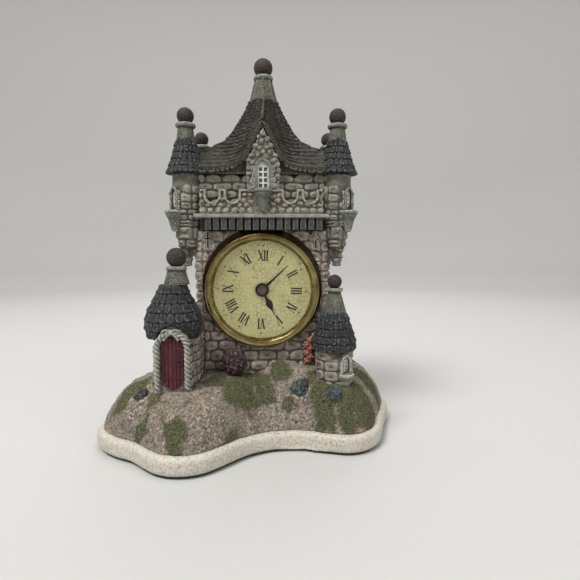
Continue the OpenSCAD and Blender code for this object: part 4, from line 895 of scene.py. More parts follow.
def roof_point(turn, share):
    """A point of the skin where a level course crosses a ray from the spire, and whether it is there."""
    x, y = eave_point(turn)
    reach = math.hypot(x, y)

    def ray(at, cut=True):
        scale = (SPIRE_R + (reach - SPIRE_R) * at) / reach
        return x * scale, y * scale, roof_height(x * scale, y * scale, cut)

    def rank(at, cut=True):
        point = ray(at, cut)
        return point[2] + COURSE_FALL * abs(point[1])

    level = rank(1.0, False) + (rank(0.0) - rank(1.0, False)) * share
    low, high = 0.0, 1.0
    found = share > 0 and rank(high) <= level + 0.01
    for _ in range(14 if found else 0):
        middle = (low + high) / 2
        if rank(middle) > level:
            low = middle
        else:
            high = middle
    far_x, far_y, height = ray(high)
    return far_x, far_y, EAVE_Z + height, found or share == 0


def drawn(name, outline, x, y, z):
    """Starts a piece from a chain of edges through (x, z) points in millimetres, left in edit mode."""
    clear()
    bpy.context.scene.tool_settings.mesh_select_mode = (True, False, False)
    bpy.ops.mesh.primitive_plane_add(size=mm, location=(0, 0, 0))
    piece = named(name)
    bpy.ops.object.mode_set(mode="EDIT")
    bpy.ops.mesh.merge(type="CENTER")
    bpy.ops.transform.translate(value=((outline[0][0] + x) * mm, y * mm, (outline[0][1] + z) * mm))
    for (x1, z1), (x2, z2) in zip(outline, outline[1:]):
        bpy.ops.mesh.extrude_region_move(
            TRANSFORM_OT_translate={"value": ((x2 - x1) * mm, 0, (z2 - z1) * mm)})
    whole()
    return piece


def turned(name, outline, steps=48, place=(0, 0)):
    """Spins an outline of (radius, height) points in millimetres round an upright axis."""
    x, y = place
    piece = drawn(name, outline, x, y, 0)
    bpy.ops.mesh.spin(steps=steps, angle=math.tau, center=(x * mm, y * mm, 0), axis=(0, 0, 1))
    whole()
    bpy.ops.mesh.remove_doubles(threshold=0.00001)
    bpy.ops.mesh.normals_make_consistent(inside=False)
    leave()
    return ordered(piece)


def bonded(piece, levels, spans, seed, height=lambda point: point.z / mm):
    """Takes out some of the upright edges in each course, so that the stones differ in width."""
    dice = random.Random(seed)
    mesh = piece.data
    middle = sum((v.co for v in mesh.vertices), Vector()) / len(mesh.vertices)
    rows, sides = {}, {}
    for face in mesh.polygons:
        for key in face.edge_keys:
            sides.setdefault(key, []).append(face.normal)
    for edge in mesh.edges:
        a, b = (mesh.vertices[i].co for i in edge.vertices)
        beside = sides.get(edge.key, ())
        if len(beside) == 2 and beside[0] @ beside[1] > 0.6 \
                and abs(height(a) - height(b)) * mm > 0.6 * (a - b).length:
            row = sum(height((a + b) / 2) > level for level in levels)
            rows.setdefault(row, []).append((math.atan2((a + b).y / 2 - middle.y,
                                                        (a + b).x / 2 - middle.x), edge.index))
    gone = set()
    for row, uprights in rows.items():
        span = spans[min(row, len(spans) - 1)]
        left = dice.randint(1, span)
        for _, index in sorted(uprights):
            left -= 1
            if left:
                gone.add(index)
            else:
                left = dice.randint(max(1, (span + 1) // 2), span)
    pick(piece, "EDGE", lambda e: e.index in gone)
    bpy.ops.mesh.dissolve_edges(use_verts=False, use_face_split=False)
    leave()


# The rings of a flat disc become the courses: two rings a course, its lip and the foot of the next, and
# outside them the eaves' edge, their underside and the seat on the wall. Slates narrow towards the spire.
RINGS, RIM = 2 * COURSES, 3
SPANS = (2, 2, 2, 3, 3, 4, 4, 5, 5, 6, 6, 7, 7, 8, 8, 8, 8, 8)
LIP_OUT, LIP_UP, SUNK, EAVE_THICK = 0.9, 1.15, 0.3, 2.4
SEAT_X, SEAT_Y = 43.5, 31.8
roof = turned("roof_slates", [(RINGS + RIM + 2 - i, 0) for i in range(RINGS + 4)], steps=132)


def ring_of(place):
    """Which ring of the disc a place lies on, counted from the outermost."""
    return RINGS + RIM + 2 - place.xy.length / mm


bonded(roof, [i - RINGS - RIM - 2 for i in range(1, RINGS + 4)],
       [1, 1, 2] + [1 if i % 2 else SPANS[i // 2] for i in range(RINGS + 1)], 41,
       height=lambda point: -point.xy.length / mm)
toned(roof, lambda face: ring_of(face.center) > RIM - 1 and int(ring_of(face.center) - RIM) % 2 == 0, 42)
for vertex in roof.data.vertices:
    ring = round(ring_of(vertex.co)) - RIM
    turn = math.atan2(vertex.co.y, vertex.co.x) / math.tau
    x, y, z, found = roof_point(turn, max(0, (ring + 1) // 2) / COURSES)
    if ring >= 0:
        z -= SUNK
        if ring % 2 == 0 and found:
            length = math.hypot(x, y)
            x, y, z = x + LIP_OUT * x / length, y + LIP_OUT * y / length, z + LIP_UP
    elif ring > -RIM:
        z -= EAVE_THICK
    else:
        z = EAVE_Z - 0.4
    if ring < -1:
        x, y = max(-SEAT_X, min(SEAT_X, x)), max(-SEAT_Y, min(SEAT_Y, y))
    vertex.co = Vector((x, y, z)) * mm
all_picked(roof)
bpy.ops.mesh.remove_doubles(threshold=0.00005)
bpy.ops.mesh.normals_make_consistent(inside=False)
leave()
raised(roof, 43, joint=0.22, rise=0.6, crown=0.45, jitter=0.45, coarse=0.55, edge=0.25)
stain(roof)
SLATE_TONES = ((0.072, 0.07, 0.054), (0.05, 0.05, 0.04), (0.095, 0.09, 0.07), (0.062, 0.058, 0.043),
               (0.08, 0.08, 0.068))
slate = resin("roof_olive", SLATE_TONES, wash=(0.009, 0.008, 0.006), brush=(0.29, 0.28, 0.235), grain=600,
              brushed=0.6, relief=0.7)
dress(roof, slate, replaced=["main_roof"])

verge = blocks("verge_band", [((WINDOW_X + side * (0.486 * (186.6 - z) + 1.1), -36.0, z),
                               (2.6, 3.6, 2.5), 0)
                              for side in (-1, 1) for z in [166 + 1.9 * i for i in range(11)]])
dress(verge, resin("verge_dark", (0.055, 0.052, 0.042), wash=(0.01, 0.01, 0.008),
                   brush=(0.22, 0.21, 0.18), brushed=0.6))


# ---- Spire ----
# An eight-sided lead cap with a ring and a ball on top. A seam of small beads runs down the front of the
# cap and on down the roof's ridge to the gable.

cap = worn_copy("spire_cap", "spire_lead", 0.4, 3, size=1.4, depth=0.35)
graded(cap, lambda x, y, z: 0.95 if z > 224.7 else 0.05 if z < 209.9 else 0.45)
stain(cap)
lead = resin("lead_olive", ((0.035, 0.035, 0.028), (0.135, 0.135, 0.105), (0.2, 0.21, 0.18)),
             wash=(0.022, 0.02, 0.015), brush=(0.4, 0.41, 0.36), grain=550, brushed=0.6, relief=0.5)
dress(cap, lead, replaced=["spire_cap"])
seam = []
for i in range(8):
    share = i / 7
    seam.append(((0, -(9.0 - 3.6 * share) - 0.25, 209.8 + 14.1 * share), (0.95, 0.75, 0.85), (0, 0, 0)))
for i in range(10):
    y = -10.5 - 25 * i / 9
    seam.append(((0.6, y, EAVE_Z + roof_height(0.6, y) + 0.5), (0.85, 0.85, 0.8), (0, 0, 0)))
bpy.ops.mesh.primitive_ico_sphere_add(subdivisions=2, radius=0.9 * mm,
                                      location=(0, -5.6 * mm, 224 * mm))
beads = named("ridge_beads")
settle()
lumps(beads, seam)
modify(beads, "SUBSURF", levels=1)
roughen(beads, 0.9, 0.3)
smoothed(beads)
graded(beads, lambda x, y, z: 0.5)
stain(beads)
dress(beads, lead)


def speckled_ball(node, name):
    """A ball finial: cast rough, its seat hidden in the ring below it."""
    piece = worn_copy(node, name, 0.38, 3, size=1.1, depth=0.35)
    stain(piece, 1)
    dress(piece, ball_paint, replaced=[node])
    return piece


ball_paint = resin("ball_maroon", (0.042, 0.028, 0.023), wash=(0.012, 0.008, 0.007),
                   brush=(0.125, 0.1, 0.088), grain=750, brushed=0.55, relief=0.7)
speckled_ball("spire_ball", "spire_finial")


# ---- Corner turrets ----
# Four round turrets cast on the shaft's corners. Each swells from a stack of rounded stones to a wall of
# pale blocks under a smooth cove, with a pointed window on a half-round sill and bowl.

def pointed(width, height, rise, steps=6):
    """Outline of a pointed arch that stands on the X axis, as (x, z) points."""
    half = width / 2
    r = (half * half + rise * rise) / width
    left = [(r - half - math.sqrt(r * r - (rise * i / steps) ** 2), height - rise + rise * i / steps)
            for i in range(steps + 1)]
    return [(-half, 0)] + left + [(-x, z) for x, z in reversed(left[:-1])] + [(half, 0)]


def prism(name, outline, low, high, place=(0, 0)):
    """Runs a flat outline of (x, z) points along Y, from low to high."""
    piece = drawn(name, outline, place[0], low, place[1])
    bpy.ops.mesh.edge_face_add()
    bpy.ops.mesh.extrude_region_move(TRANSFORM_OT_translate={"value": (0, (high - low) * mm, 0)})
    whole()
    bpy.ops.mesh.normals_make_consistent(inside=False)
    leave()
    return ordered(piece)


def repeated(piece, places):
    """Sets a piece at several places, each a turn in degrees and x and y, as one mesh."""
    name, copies = piece.name, []
    for turn, x, y in places:
        copy = bpy.data.objects.new(name, piece.data.copy())
        bpy.context.collection.objects.link(copy)
        copy.data.transform(Matrix.Translation((x * mm, y * mm, 0))
                            @ Matrix.Rotation(math.radians(turn), 4, "Z"))
        copies.append(copy)
    bpy.data.objects.remove(piece, do_unlink=True)
    take(*copies)
    bpy.ops.object.join()
    return named(name)


CORNERS = [(-45, -CORNER_X, -CORNER_Y), (45, CORNER_X, -CORNER_Y), (135, CORNER_X, CORNER_Y),
           (225, -CORNER_X, CORNER_Y)]
FOOT_Z, TURRET_H, TURRET_R, SILL_Z, FLAT_Y = 102.5, 56, 9.5, 136.2, -8.71
BEDS = (0.1, 0.205, 0.295, 0.43, 0.5, 0.56, 0.61, 0.69, 0.78, 0.87)
TURRET = ((0, 0), (0.23, 0), (0.36, 0.1), (0.5, 0.2), (0.56, 0.21), (0.64, 0.29), (0.7, 0.3), (0.75, 0.43),
          (0.83, 0.5), (0.92, 0.56), (1, 0.61), (1, 0.69), (1, 0.78), (1, 0.87), (0.93, 0.92), (0.95, 0.97),
          (1.03, 1), (0, 1))
turret = turned("turret_stones", [(max(0, TURRET_R * r - 0.55), FOOT_Z + TURRET_H * z)
                                  for r, z in TURRET], steps=24)
carve(turret, block("flat_cutter", (-4.1, -13, SILL_Z), (4.1, FLAT_Y, 150.4)))
carve(turret, prism("window_cutter", pointed(5, 13, 3.6), -13, -7.1, (0, SILL_Z)))
bonded(turret, [FOOT_Z + TURRET_H * z for z in BEDS], [10, 9, 9, 8, 6, 4, 3, 3, 3, 3, 1], 51)
toned(turret, lambda face: abs(face.normal.z) < 0.92 and 0.1026 < face.center.z < 0.1511
      and not (face.center.y < -0.0068 and abs(face.center.x) < 0.0043 and face.center.z > 0.1361), 52)
raised(turret, 53, joint=0.25, rise=0.95, crown=0.8, jitter=0.35)
modify(turret, "SMOOTH", factor=0.5, iterations=4)
roughen(turret, 1.1, 0.45)
smoothed(turret)
stain(turret)
# The first tone also colours the untoned faces, the smooth cove and the flat round the window: its dark
# grey-green is painted shade under the roof.
TURRET_TONES_AND_COVE_SHADE = ((0.15, 0.152, 0.122), (0.18, 0.165, 0.13), (0.28, 0.265, 0.22), (0.21, 0.21, 0.17))
turret_stone = resin("turret_grey_green", TURRET_TONES_AND_COVE_SHADE, wash=(0.035, 0.032, 0.024),
                     brush=(0.5, 0.48, 0.42), grain=650, relief=0.6)
dress(repeated(turret, CORNERS), turret_stone, replaced=["corner_turrets"])

bowl = turned("turret_bowls", [(0, 123.6), (1.86, 123.6), (3.83, 130.9), (5.34, 133.7), (5.34, 134.6),
                               (5.9, 134.6), (5.9, SILL_Z), (0, SILL_Z)], steps=32, place=(0, FLAT_Y))
modify(bowl, "BEVEL", width=0.3 * mm, segments=2, limit_method="ANGLE")
weathered(bowl, 0.4, 2, 1.1, 0.35)
stain(bowl)
dress(repeated(bowl, CORNERS), frame_paint)
sides = worn_copy("corner_window_frames", "corner_frames", 0.3, 2, depth=0.15)
stain(sides)
dress(sides, frame_paint, replaced=["corner_window_frames"])
spots = []
for turn, x, y in CORNERS:
    spots += quoins(x, y, 136.5, 3.6, 11.5, turn=math.radians(turn), radius=8.6)
dress(blocks("corner_quoins", spots), quoin_paint)
paint_node("corner_lattices", lattice_paint)


# ---- Turret roofs ----
# Squarish tiles in a few courses, each lipping over the one below, cast and painted blue-black with the
# tile edges rubbed pale. A lead cap, a ring and a ball stand on each.

TILE_TONES = ((0.018, 0.019, 0.021), (0.012, 0.013, 0.015), (0.03, 0.032, 0.033), (0.02, 0.02, 0.018),
              (0.022, 0.025, 0.029))
tile_paint = resin("tile_blue_black", TILE_TONES, wash=(0.005, 0.005, 0.006), brush=(0.21, 0.22, 0.215),
                   grain=600, brushed=0.55, relief=0.8)


TILE_LIP, TILE_SUNK = 0.6, 0.25


def tiled(name, radii, low, rise, courses, spans, seed, steps=40, place=(0, 0), cutter=None):
    """A round roof of tiles: a stepped outline spun round, then split into tiles and raised."""
    outline = [(0, low)]
    for i in range(courses):
        lip = TILE_LIP if i else 0
        outline.append((along(radii, i / courses) + lip - TILE_SUNK, low + rise * i / courses))
        outline.append((along(radii, (i + 1) / courses) - TILE_SUNK, low + rise * (i + 1) / courses))
    roof = turned(name, outline + [(0, low + rise)], steps=steps, place=place)
    if cutter:
        carve(roof, cutter)
    bonded(roof, [low + rise * (i + 0.02) / courses for i in range(1, courses)], spans, seed)
    axis = Vector(place) * mm
    toned(roof, lambda face: -0.3 < face.normal.z < 0.93 and face.center.z > (low + 0.2) * mm
          and (face.center.xy - axis).length > 0.4 * radii[-1] * mm
          and face.normal.xy @ (face.center.xy - axis) > 0, seed + 1)
    raised(roof, seed + 2, joint=0.16, rise=0.5, crown=0.35, jitter=0.42, coarse=0.45, edge=0.2)
    return roof


corner_roof = tiled("corner_tiles", [12.6 * r for r in (1, 0.87, 0.77, 0.69, 0.62, 0.56, 0.5, 0.44)],
                    EAVE_Z, 20.3, 5, [3, 3, 3, 4, 4], 61)
stain(corner_roof)
dress(repeated(corner_roof, CORNERS), tile_paint, replaced=["corner_turret_roofs"])


def leaded(node, name, foot, ring):
    """A lead cap: dark at its foot, grey-olive above, its ring rubbed pale."""
    piece = worn_copy(node, name, 0.4, 2, size=1.3, depth=0.3)
    graded(piece, lambda x, y, z: 0.95 if z > ring - 0.3 else 0.05 if z < foot + 0.8 else 0.5)
    stain(piece)
    dress(piece, lead, replaced=[node])


leaded("corner_turret_caps", "corner_lead", 178.8, 186.4)
speckled_ball("corner_turret_balls", "corner_finials")


# ---- Arrow loops ----
# Two clover-headed stone frames high on the front, each with a cross slit whose shade is painted as a
# near-black block.

loops = worn_copy("arrow_loops", "loop_frames", 0.28, 2, depth=0.15)
stain(loops)
dress(loops, resin("loop_pale", (0.28, 0.27, 0.23), wash=(0.045, 0.04, 0.032), brush=(0.55, 0.55, 0.49),
                   grain=800, relief=0.4), replaced=["arrow_loops"])
# Near-black blocks in the slits: painted shade where each slit opens into the wall.
slit_shades = blocks("loop_slit_shades", [((side * 33, -31.35, z), (w, 0.5, h), 0) for side in (-1, 1)
                              for z, w, h in ((118.0, 1.9, 9.6), (119.4, 4.6, 1.9))])
dress(slit_shades, plain_material("slit_painted_shade", (0.012, 0.01, 0.009), 0.9))


# ---- Porch ----
# A round turret with a pointed portal in front, cast with the hill. Its wall is rubble, and a neck of the
# same wall ties it to the tower.

PORCH_TONES = ((0.25, 0.22, 0.18), (0.19, 0.175, 0.14), (0.3, 0.27, 0.23), (0.23, 0.19, 0.17))
porch_stone = resin("porch_taupe", PORCH_TONES, wash=(0.04, 0.033, 0.025), brush=(0.53, 0.5, 0.44),
                    grain=650, relief=0.6)


def spaced(low, high, step, seed):
    """Places between low and high about a step apart, unevenly."""
    dice = random.Random(seed)
    count = max(1, round((high - low) / step))
    return [low + (high - low) * (i + dice.uniform(-0.25, 0.25)) / count for i in range(1, count)]


def round_wall(name, x, y, radius, low, high, courses, seed, steps=28, cutters=()):
    """A round wall of rubble in level courses, with openings cut in it."""
    outline = [(0, low)] + [(radius - 0.55, low + (high - low) * i / courses)
                            for i in range(courses + 1)]
    wall = turned(name, outline + [(0, high)], steps=steps, place=(x, y))
    for cutter in cutters:
        carve(wall, cutter)
    bonded(wall, [low + (high - low) * i / courses for i in range(1, courses)], [3], seed)
    toned(wall, lambda face: abs(face.normal.z) < 0.7
          and math.hypot(face.center.x - x * mm, face.center.y - y * mm) > (radius - 1.1) * mm, seed + 1)
    raised(wall, seed + 2, joint=0.22, rise=0.7, crown=0.55, jitter=0.5, coarse=0.5)
    return wall


def neck_wall(name, low, high, seed):
    """A short straight wall of rubble between a turret and the tower."""
    wall = block(name, low, high)
    across, course = 3.2, 4.5
    for axis, step in enumerate((across, across, course)):
        sliced(wall, axis, spaced(low[axis], high[axis], step, seed + axis))
    bonded(wall, [low[2] + course * i for i in range(1, 9)], [3], seed)
    toned(wall, lambda face: abs(face.normal.z) < 0.7, seed + 1)
    raised(wall, seed + 2, joint=0.22, rise=0.6, crown=0.5, jitter=0.3, coarse=0.3)
    return wall


def fused(name, *parts):
    """Joins several meshes into one piece."""
    take(*parts)
    bpy.ops.object.join()
    return named(name)


DOOR_X, DOOR_FOOT, PORTAL_FRONT = -48, 33, -64.2
portal = prism("portal", pointed(19.2, 39.6, 12.6, 8), PORTAL_FRONT, -50.5, (DOOR_X, GROUND))
sliced(portal, 2, spaced(32, 71, 4.4, 71))
sliced(portal, 1, spaced(PORTAL_FRONT, -50.5, 3.6, 72))
carve(portal, prism("door_cutter", pointed(13.4, 33.45, 8, 8), -67, -62.8, (DOOR_X, DOOR_FOOT)))
bonded(portal, [32 + 4.4 * i for i in range(1, 9)], [2], 73)
toned(portal, lambda face: abs(face.normal.y) < 0.6 and face.normal.z > -0.5
      and (abs(face.center.x + 0.048) > 0.0085 or face.center.z > 0.068), 74)
raised(portal, 75, joint=0.2, rise=0.5, crown=0.5, jitter=0.25, coarse=0.3)
porch = fused("porch_rubble", round_wall("porch_round", -49.4, -50, 12.6, GROUND, 62.5, 7, 76), portal,
              neck_wall("porch_neck", (-48.6, -49.5, GROUND), (-37, -27, 62.3), 77))
stain(porch)
dress(porch, porch_stone, replaced=["porch_turret"])

porch_tiles = tiled("porch_tiles", [15.9 * r for r in (0.93, 0.99, 1, 0.97, 0.84, 0.68, 0.55, 0.46)],
                    62.5, 30.2, 6, [3, 3, 3, 3, 4, 5], 81, steps=44, place=(-50.2, -50),
                    cutter=prism("portal_cutter", pointed(19.8, 39.9, 12.9, 8), -70, -50,
                                 (DOOR_X, GROUND)))
stain(porch_tiles)
dress(porch_tiles, tile_paint, replaced=["porch_roof"])
leaded("porch_cap", "porch_lead", 92.7, 100.7)
speckled_ball("porch_ball", "porch_finial")


# ---- Porch door ----
# Burgundy planks behind two straps and a ring handle, all cast in one and painted over.

door_paint = resin("plank_burgundy", ((0.14, 0.02, 0.032), (0.11, 0.014, 0.024), (0.17, 0.028, 0.04)),
                   wash=(0.025, 0.006, 0.008), brush=(0.34, 0.12, 0.12), grain=900, brushed=0.4, relief=0.3)
PLANKS, DOOR_WIDE = 6, 13.2
door = prism("door_planks", pointed(13.1, 33.2, 7.9, 8), -63.8, -62.8, (DOOR_X, DOOR_FOOT))
sliced(door, 0, [DOOR_X - DOOR_WIDE / 2 + DOOR_WIDE * i / PLANKS for i in range(1, PLANKS)])
toned(door, lambda face: face.normal.y < -0.9, 85)
raised(door, 86, joint=0.1, rise=0.3, crown=0.3, jitter=0.0, edge=0.12)
roughen(door, 1.5, 0.12)
stain(door)
dress(door, door_paint, replaced=["porch_door"])
iron_paint = resin("iron_burgundy", (0.06, 0.014, 0.018), wash=(0.015, 0.005, 0.006),
                   brush=(0.2, 0.09, 0.09), grain=900, brushed=0.5, even=0.6)
paint_node("door_furniture", iron_paint)


# ---- Rope arch ----
# A carved rope runs round the door and is tied in a bow at the crown, cast with the portal and painted
# pale grey-green.

def tube(name, points, radius, cyclic=False):
    """A round bar along points in millimetres, as a mesh."""
    clear()
    curve = bpy.data.curves.new(name, "CURVE")
    curve.dimensions = "3D"
    curve.bevel_depth = radius * mm
    curve.bevel_resolution = 3
    curve.use_fill_caps = True
    line = curve.splines.new("POLY")
    line.points.add(len(points) - 1)
    for point, place in zip(line.points, points):
        point.co = (*[c * mm for c in place], 1)
    line.use_cyclic_u = cyclic
    piece = bpy.data.objects.new(name, curve)
    bpy.context.collection.objects.link(piece)
    take(piece)
    bpy.ops.object.convert(target="MESH")
    return bpy.context.object


def even_run(points, step):
    """Points a step apart along a polyline of (x, z) points."""
    run, found, left = 0.0, [points[0]], step
    for a, b in zip(points, points[1:]):
        length, done = math.dist(a, b), 0.0
        while length - done >= left:
            done += left
            found.append(tuple(p + (q - p) * done / length for p, q in zip(a, b)))
            left = step
        left -= length - done
    return found


ROPE_STEP, LAY, STRANDS, ROPE_Y = 0.45, 5, 2, -65.3
path = even_run([(DOOR_X + x, 36 + z) for x, z in pointed(16.6, 31.9, 9.6, 14)], ROPE_STEP)
strands = []
for strand in range(STRANDS):
    points = []
    for i, (x, z) in enumerate(path):
        (x1, z1), (x2, z2) = path[max(0, i - 1)], path[min(len(path) - 1, i + 1)]
        length = math.dist((x1, z1), (x2, z2))
        across = (-(z2 - z1) / length, (x2 - x1) / length)
        turn = i * ROPE_STEP / LAY * math.tau + strand * math.tau / STRANDS
        points.append((x + across[0] * 0.8 * math.cos(turn), ROPE_Y + 0.75 * math.sin(turn),
                       z + across[1] * 0.8 * math.cos(turn)))
    strands.append(tube("rope_strand", points, 0.86))
for side in (-1, 1):
    loop = [(DOOR_X + side * (0.4 + 2.5 * (1 - math.cos(t)) * 0.9), -66.2 - 0.3 * math.sin(t),
             67.4 + 1.5 * math.sin(t)) for t in [math.tau * i / 20 for i in range(20)]]
    tail = [(DOOR_X + side * (0.4 + 0.9 * i), -66.2 - 0.1 * i, 67.2 - 0.75 * i - 0.05 * i * i)
            for i in range(5)]
    strands += [tube("bow_loop", loop, 0.62, cyclic=True), tube("bow_tail", tail, 0.6)]
rope = fused("rope_twist", *strands)
lumps(rope, [((DOOR_X, -66.3, 67.4), (1.3, 1.0, 1.2), (0, 0.4, 0))])
smoothed(rope)
roughen(rope, 0.8, 0.12)
stain(rope)
dress(rope, resin("rope_grey_green", (0.27, 0.285, 0.24), wash=(0.04, 0.04, 0.03), brush=(0.56, 0.58, 0.51),
                  grain=900, relief=0.4), replaced=["rope_arch"])


# ---- Garden turret ----
# A smaller round turret at the right, with a pointed window turned towards the corner.

GARDEN_X, GARDEN_Y, GARDEN_TURN = 43, -46, math.radians(34)
cutters = [block("garden_flat", (-4.9, -16, 41.5), (4.9, -10.25, 53)),
           prism("garden_hole", pointed(5, 9.6, 3.8), -16, -8.6, (0, 41.5))]
for cutter in cutters:
    cutter.data.transform(Matrix.Translation((GARDEN_X * mm, GARDEN_Y * mm, 0))
                          @ Matrix.Rotation(GARDEN_TURN, 4, "Z"))
garden = round_wall("garden_round", GARDEN_X, GARDEN_Y, 11, GROUND, 54.2, 4, 91, steps=22,
                    cutters=cutters)
garden = fused("garden_rubble", garden, neck_wall("garden_neck", (37, -45.5, GROUND), (48.6, -27, 54), 92))
stain(garden)
dress(garden, porch_stone, replaced=["garden_turret"])
garden_tiles = tiled("garden_tiles", [12.9 * r for r in (1, 0.98, 0.93, 0.86, 0.79, 0.71, 0.63, 0.55)],
                     54.2, 21.3, 5, [3, 3, 3, 4, 4], 95, place=(GARDEN_X, GARDEN_Y))
stain(garden_tiles)
dress(garden_tiles, tile_paint, replaced=["garden_roof"])
leaded("garden_cap", "garden_lead", 75.5, 88.2)
speckled_ball("garden_ball", "garden_finial")
surround = worn_copy("garden_window_frame", "garden_frame", 0.3, 2, depth=0.2)
stain(surround)
dress(surround, quoin_paint, replaced=["garden_window_frame"])
paint_node("garden_lattice", lattice_paint)


# ---- Shrubs ----
# Four clipped bushes cast as rough balls: a maroon one against the tower, and blue-green and dark ones on
# the hill.

bushes = worn_copy("shrubs", "shrub_balls", 0.42, 1, size=1.7, depth=2.0)
roughen(bushes, 1.7, 1.8, 0.35, kind="VORONOI")
maroon = [vertex for vertex in bushes.data.vertices if -25 * mm < vertex.co.x < -10 * mm]
foot_z = min(vertex.co.z for vertex in maroon)
for vertex in maroon:
    vertex.co.z = foot_z + 1.22 * (vertex.co.z - foot_z)
graded(bushes, lambda x, y, z: (0.12 if -25 < x < -10 else 0.38 if 10 < x < 30
                                else 0.62 if x < -50 else 0.88))
stain(bushes)
BUSH_TONES = ((0.055, 0.024, 0.022), (0.05, 0.085, 0.08), (0.03, 0.038, 0.042), (0.06, 0.08, 0.095))
bush_paint = resin("bush_colours", BUSH_TONES, wash=(0.01, 0.009, 0.008), brush=(0.24, 0.24, 0.22),
                   brushed=0.5, relief=0.8)
dress(bushes, bush_paint, replaced=["shrubs"])


# ---- Climbing roses ----
# A rose cast on the wall by the garden turret: six coral blossoms, each of a bud and five curled petals,
# among small leaves.

dice = random.Random(101)
petals, leaves = [], []
for i in range(6):
    x, y, z = 28.6 + (0.9 if i % 2 else -0.9), -33.4, 43.8 + 2.65 * i
    petals.append(((x, y - 0.9, z), (1.0, 1.0, 1.0), (0, 0, 0)))
    for k in range(5):
        turn = k * math.tau / 5 + dice.uniform(-0.2, 0.2)
        petals.append(((x + 1.25 * math.cos(turn), y - 0.35, z + 1.2 * math.sin(turn)), (1.15, 0.75, 0.95),
                       (dice.uniform(-0.4, 0.4), -turn, dice.uniform(-0.4, 0.4))))
    for side in (-1, 1):
        leaves.append(((28.6 + side * dice.uniform(2.4, 3.2), -32.2, z + dice.uniform(-1.2, 1.2)),
                       (1.1, 0.35, 0.7), (0, dice.uniform(-0.8, 0.8), 0)))
for name, spots, material, replaced, slot in (
        ("rose_petals", petals, resin("petal_coral", (0.46, 0.16, 0.11), wash=(0.14, 0.03, 0.022),
                                      brush=(0.72, 0.42, 0.34), grain=900, brushed=0.6, relief=0.3),
         ["climbing_roses"], "blossom"),
        ("rose_leaves", leaves, resin("leaf_green", (0.06, 0.09, 0.035), brush=(0.25, 0.3, 0.16), grain=900,
                                      relief=0.4), (), "foliage")):
    bpy.ops.mesh.primitive_ico_sphere_add(subdivisions=2, radius=0.5 * mm,
                                          location=[c * mm for c in spots[0][0]])
    growth = named(name)
    settle()
    lumps(growth, spots)
    modify(growth, "REMESH", mode="VOXEL", voxel_size=0.28 * mm)
    roughen(growth, 0.8, 0.3)
    smoothed(growth)
    stain(growth)
    dress(growth, material, replaced=replaced)


# ---- Clock insert ----
# A bought quartz movement in a black case, pushed into the tower's bore on a rubber band. A spun brass
# ring holds a flat glass over a cream dial.

brass, tree, shader, place = painted("spun_brass", (0.35, 0.28, 0.11), 0.25)
shader.inputs["Metallic"].default_value = 1
tarnish = noise(tree, place, 90, 4)
link(brass, ramp(tree, tarnish, ((0.35, (0.17, 0.125, 0.04)), (0.65, (0.38, 0.31, 0.13)))),
     shader.inputs["Base Color"])
link(brass, plus(tree, 0.16, noise(tree, place, 150), 0.2), shader.inputs["Roughness"])
bump(tree, shader, noise(tree, place, 300, 2), 0.02)


def kept_shape(node, name, material, body, bevel):
    """A copy of a CAD piece with its sharp edges eased and its round faces smooth."""
    piece = copy_of(node, name)
    sharp = math.radians(40)
    modify(piece, "BEVEL", width=bevel * mm, segments=2, limit_method="ANGLE", angle_limit=sharp)
    take(piece)
    bpy.ops.object.shade_smooth_by_angle(angle=sharp)
    dress(piece, material, body=body, replaced=[node])
    return piece


kept_shape("bezel", "brass_ring", brass, "clock_insert", 0.1)

glass, tree, shader, place = painted("clock_glass", (1, 1, 1), 0.02)
shader.inputs["Transmission Weight"].default_value = 1
shader.inputs["IOR"].default_value = 1.15
bump(tree, shader, noise(tree, place, 25, 2), 0.01)
paint_node("lens", glass)

card, tree, shader, place = painted("crackled_cream", (0.66, 0.61, 0.3), 0.5)
warp = node_of(tree, "TexNoise", Scale=180, Vector=place)
bent = tree.nodes.new("ShaderNodeMix")
bent.data_type = "VECTOR"
bent.inputs["Factor"].default_value = 0.0012
ends = [s for s in bent.inputs if s.type == "VECTOR" and s.name in ("A", "B")]
tree.links.new(place, ends[0])
tree.links.new(warp.outputs["Color"], ends[1])
cracks = tree.nodes.new("ShaderNodeTexVoronoi")
cracks.feature = "DISTANCE_TO_EDGE"
cracks.inputs["Scale"].default_value = 400
tree.links.new([s for s in bent.outputs if s.type == "VECTOR"][0], cracks.inputs["Vector"])
cream = ramp(tree, noise(tree, place, 45, 4), ((0.3, (0.58, 0.53, 0.24)), (0.7, (0.7, 0.66, 0.34))))
line = times(tree, fade(tree, cracks.outputs["Distance"], 0.08, 0.0),
             fade(tree, noise(tree, place, 120), 0.3, 0.6))
link(card, mixed(tree, times(tree, line, 0.9), cream, (0.3, 0.2, 0.09)), shader.inputs["Base Color"])
bump(tree, shader, noise(tree, place, 900, 3), 0.1)
paint_node("dial", card)

ink, tree, shader, place = painted("printed_black", (0.012, 0.011, 0.01), 0.45)
link(ink, ramp(tree, noise(tree, place, 1500, 4),
               ((0.3, (0.008, 0.007, 0.006)), (0.75, (0.035, 0.03, 0.024)))), shader.inputs["Base Color"])


PRINT_Y, PRINT_THICK = -31.51, 0.03


def bars(name, strokes):
    """Flat printed strokes, each from one (x, z) point to another and a width, as one mesh."""
    piece = bare(name)
    for (x1, z1), (x2, z2), width in strokes:
        bpy.ops.mesh.primitive_cube_add(
            size=1, location=((x1 + x2) / 2 * mm, PRINT_Y * mm, (z1 + z2) / 2 * mm),
            rotation=(0, math.atan2(x2 - x1, z2 - z1), 0),
            scale=(width * mm, PRINT_THICK * mm, math.dist((x1, z1), (x2, z2)) * mm))
    leave()
    take(piece)
    settle()
    return piece


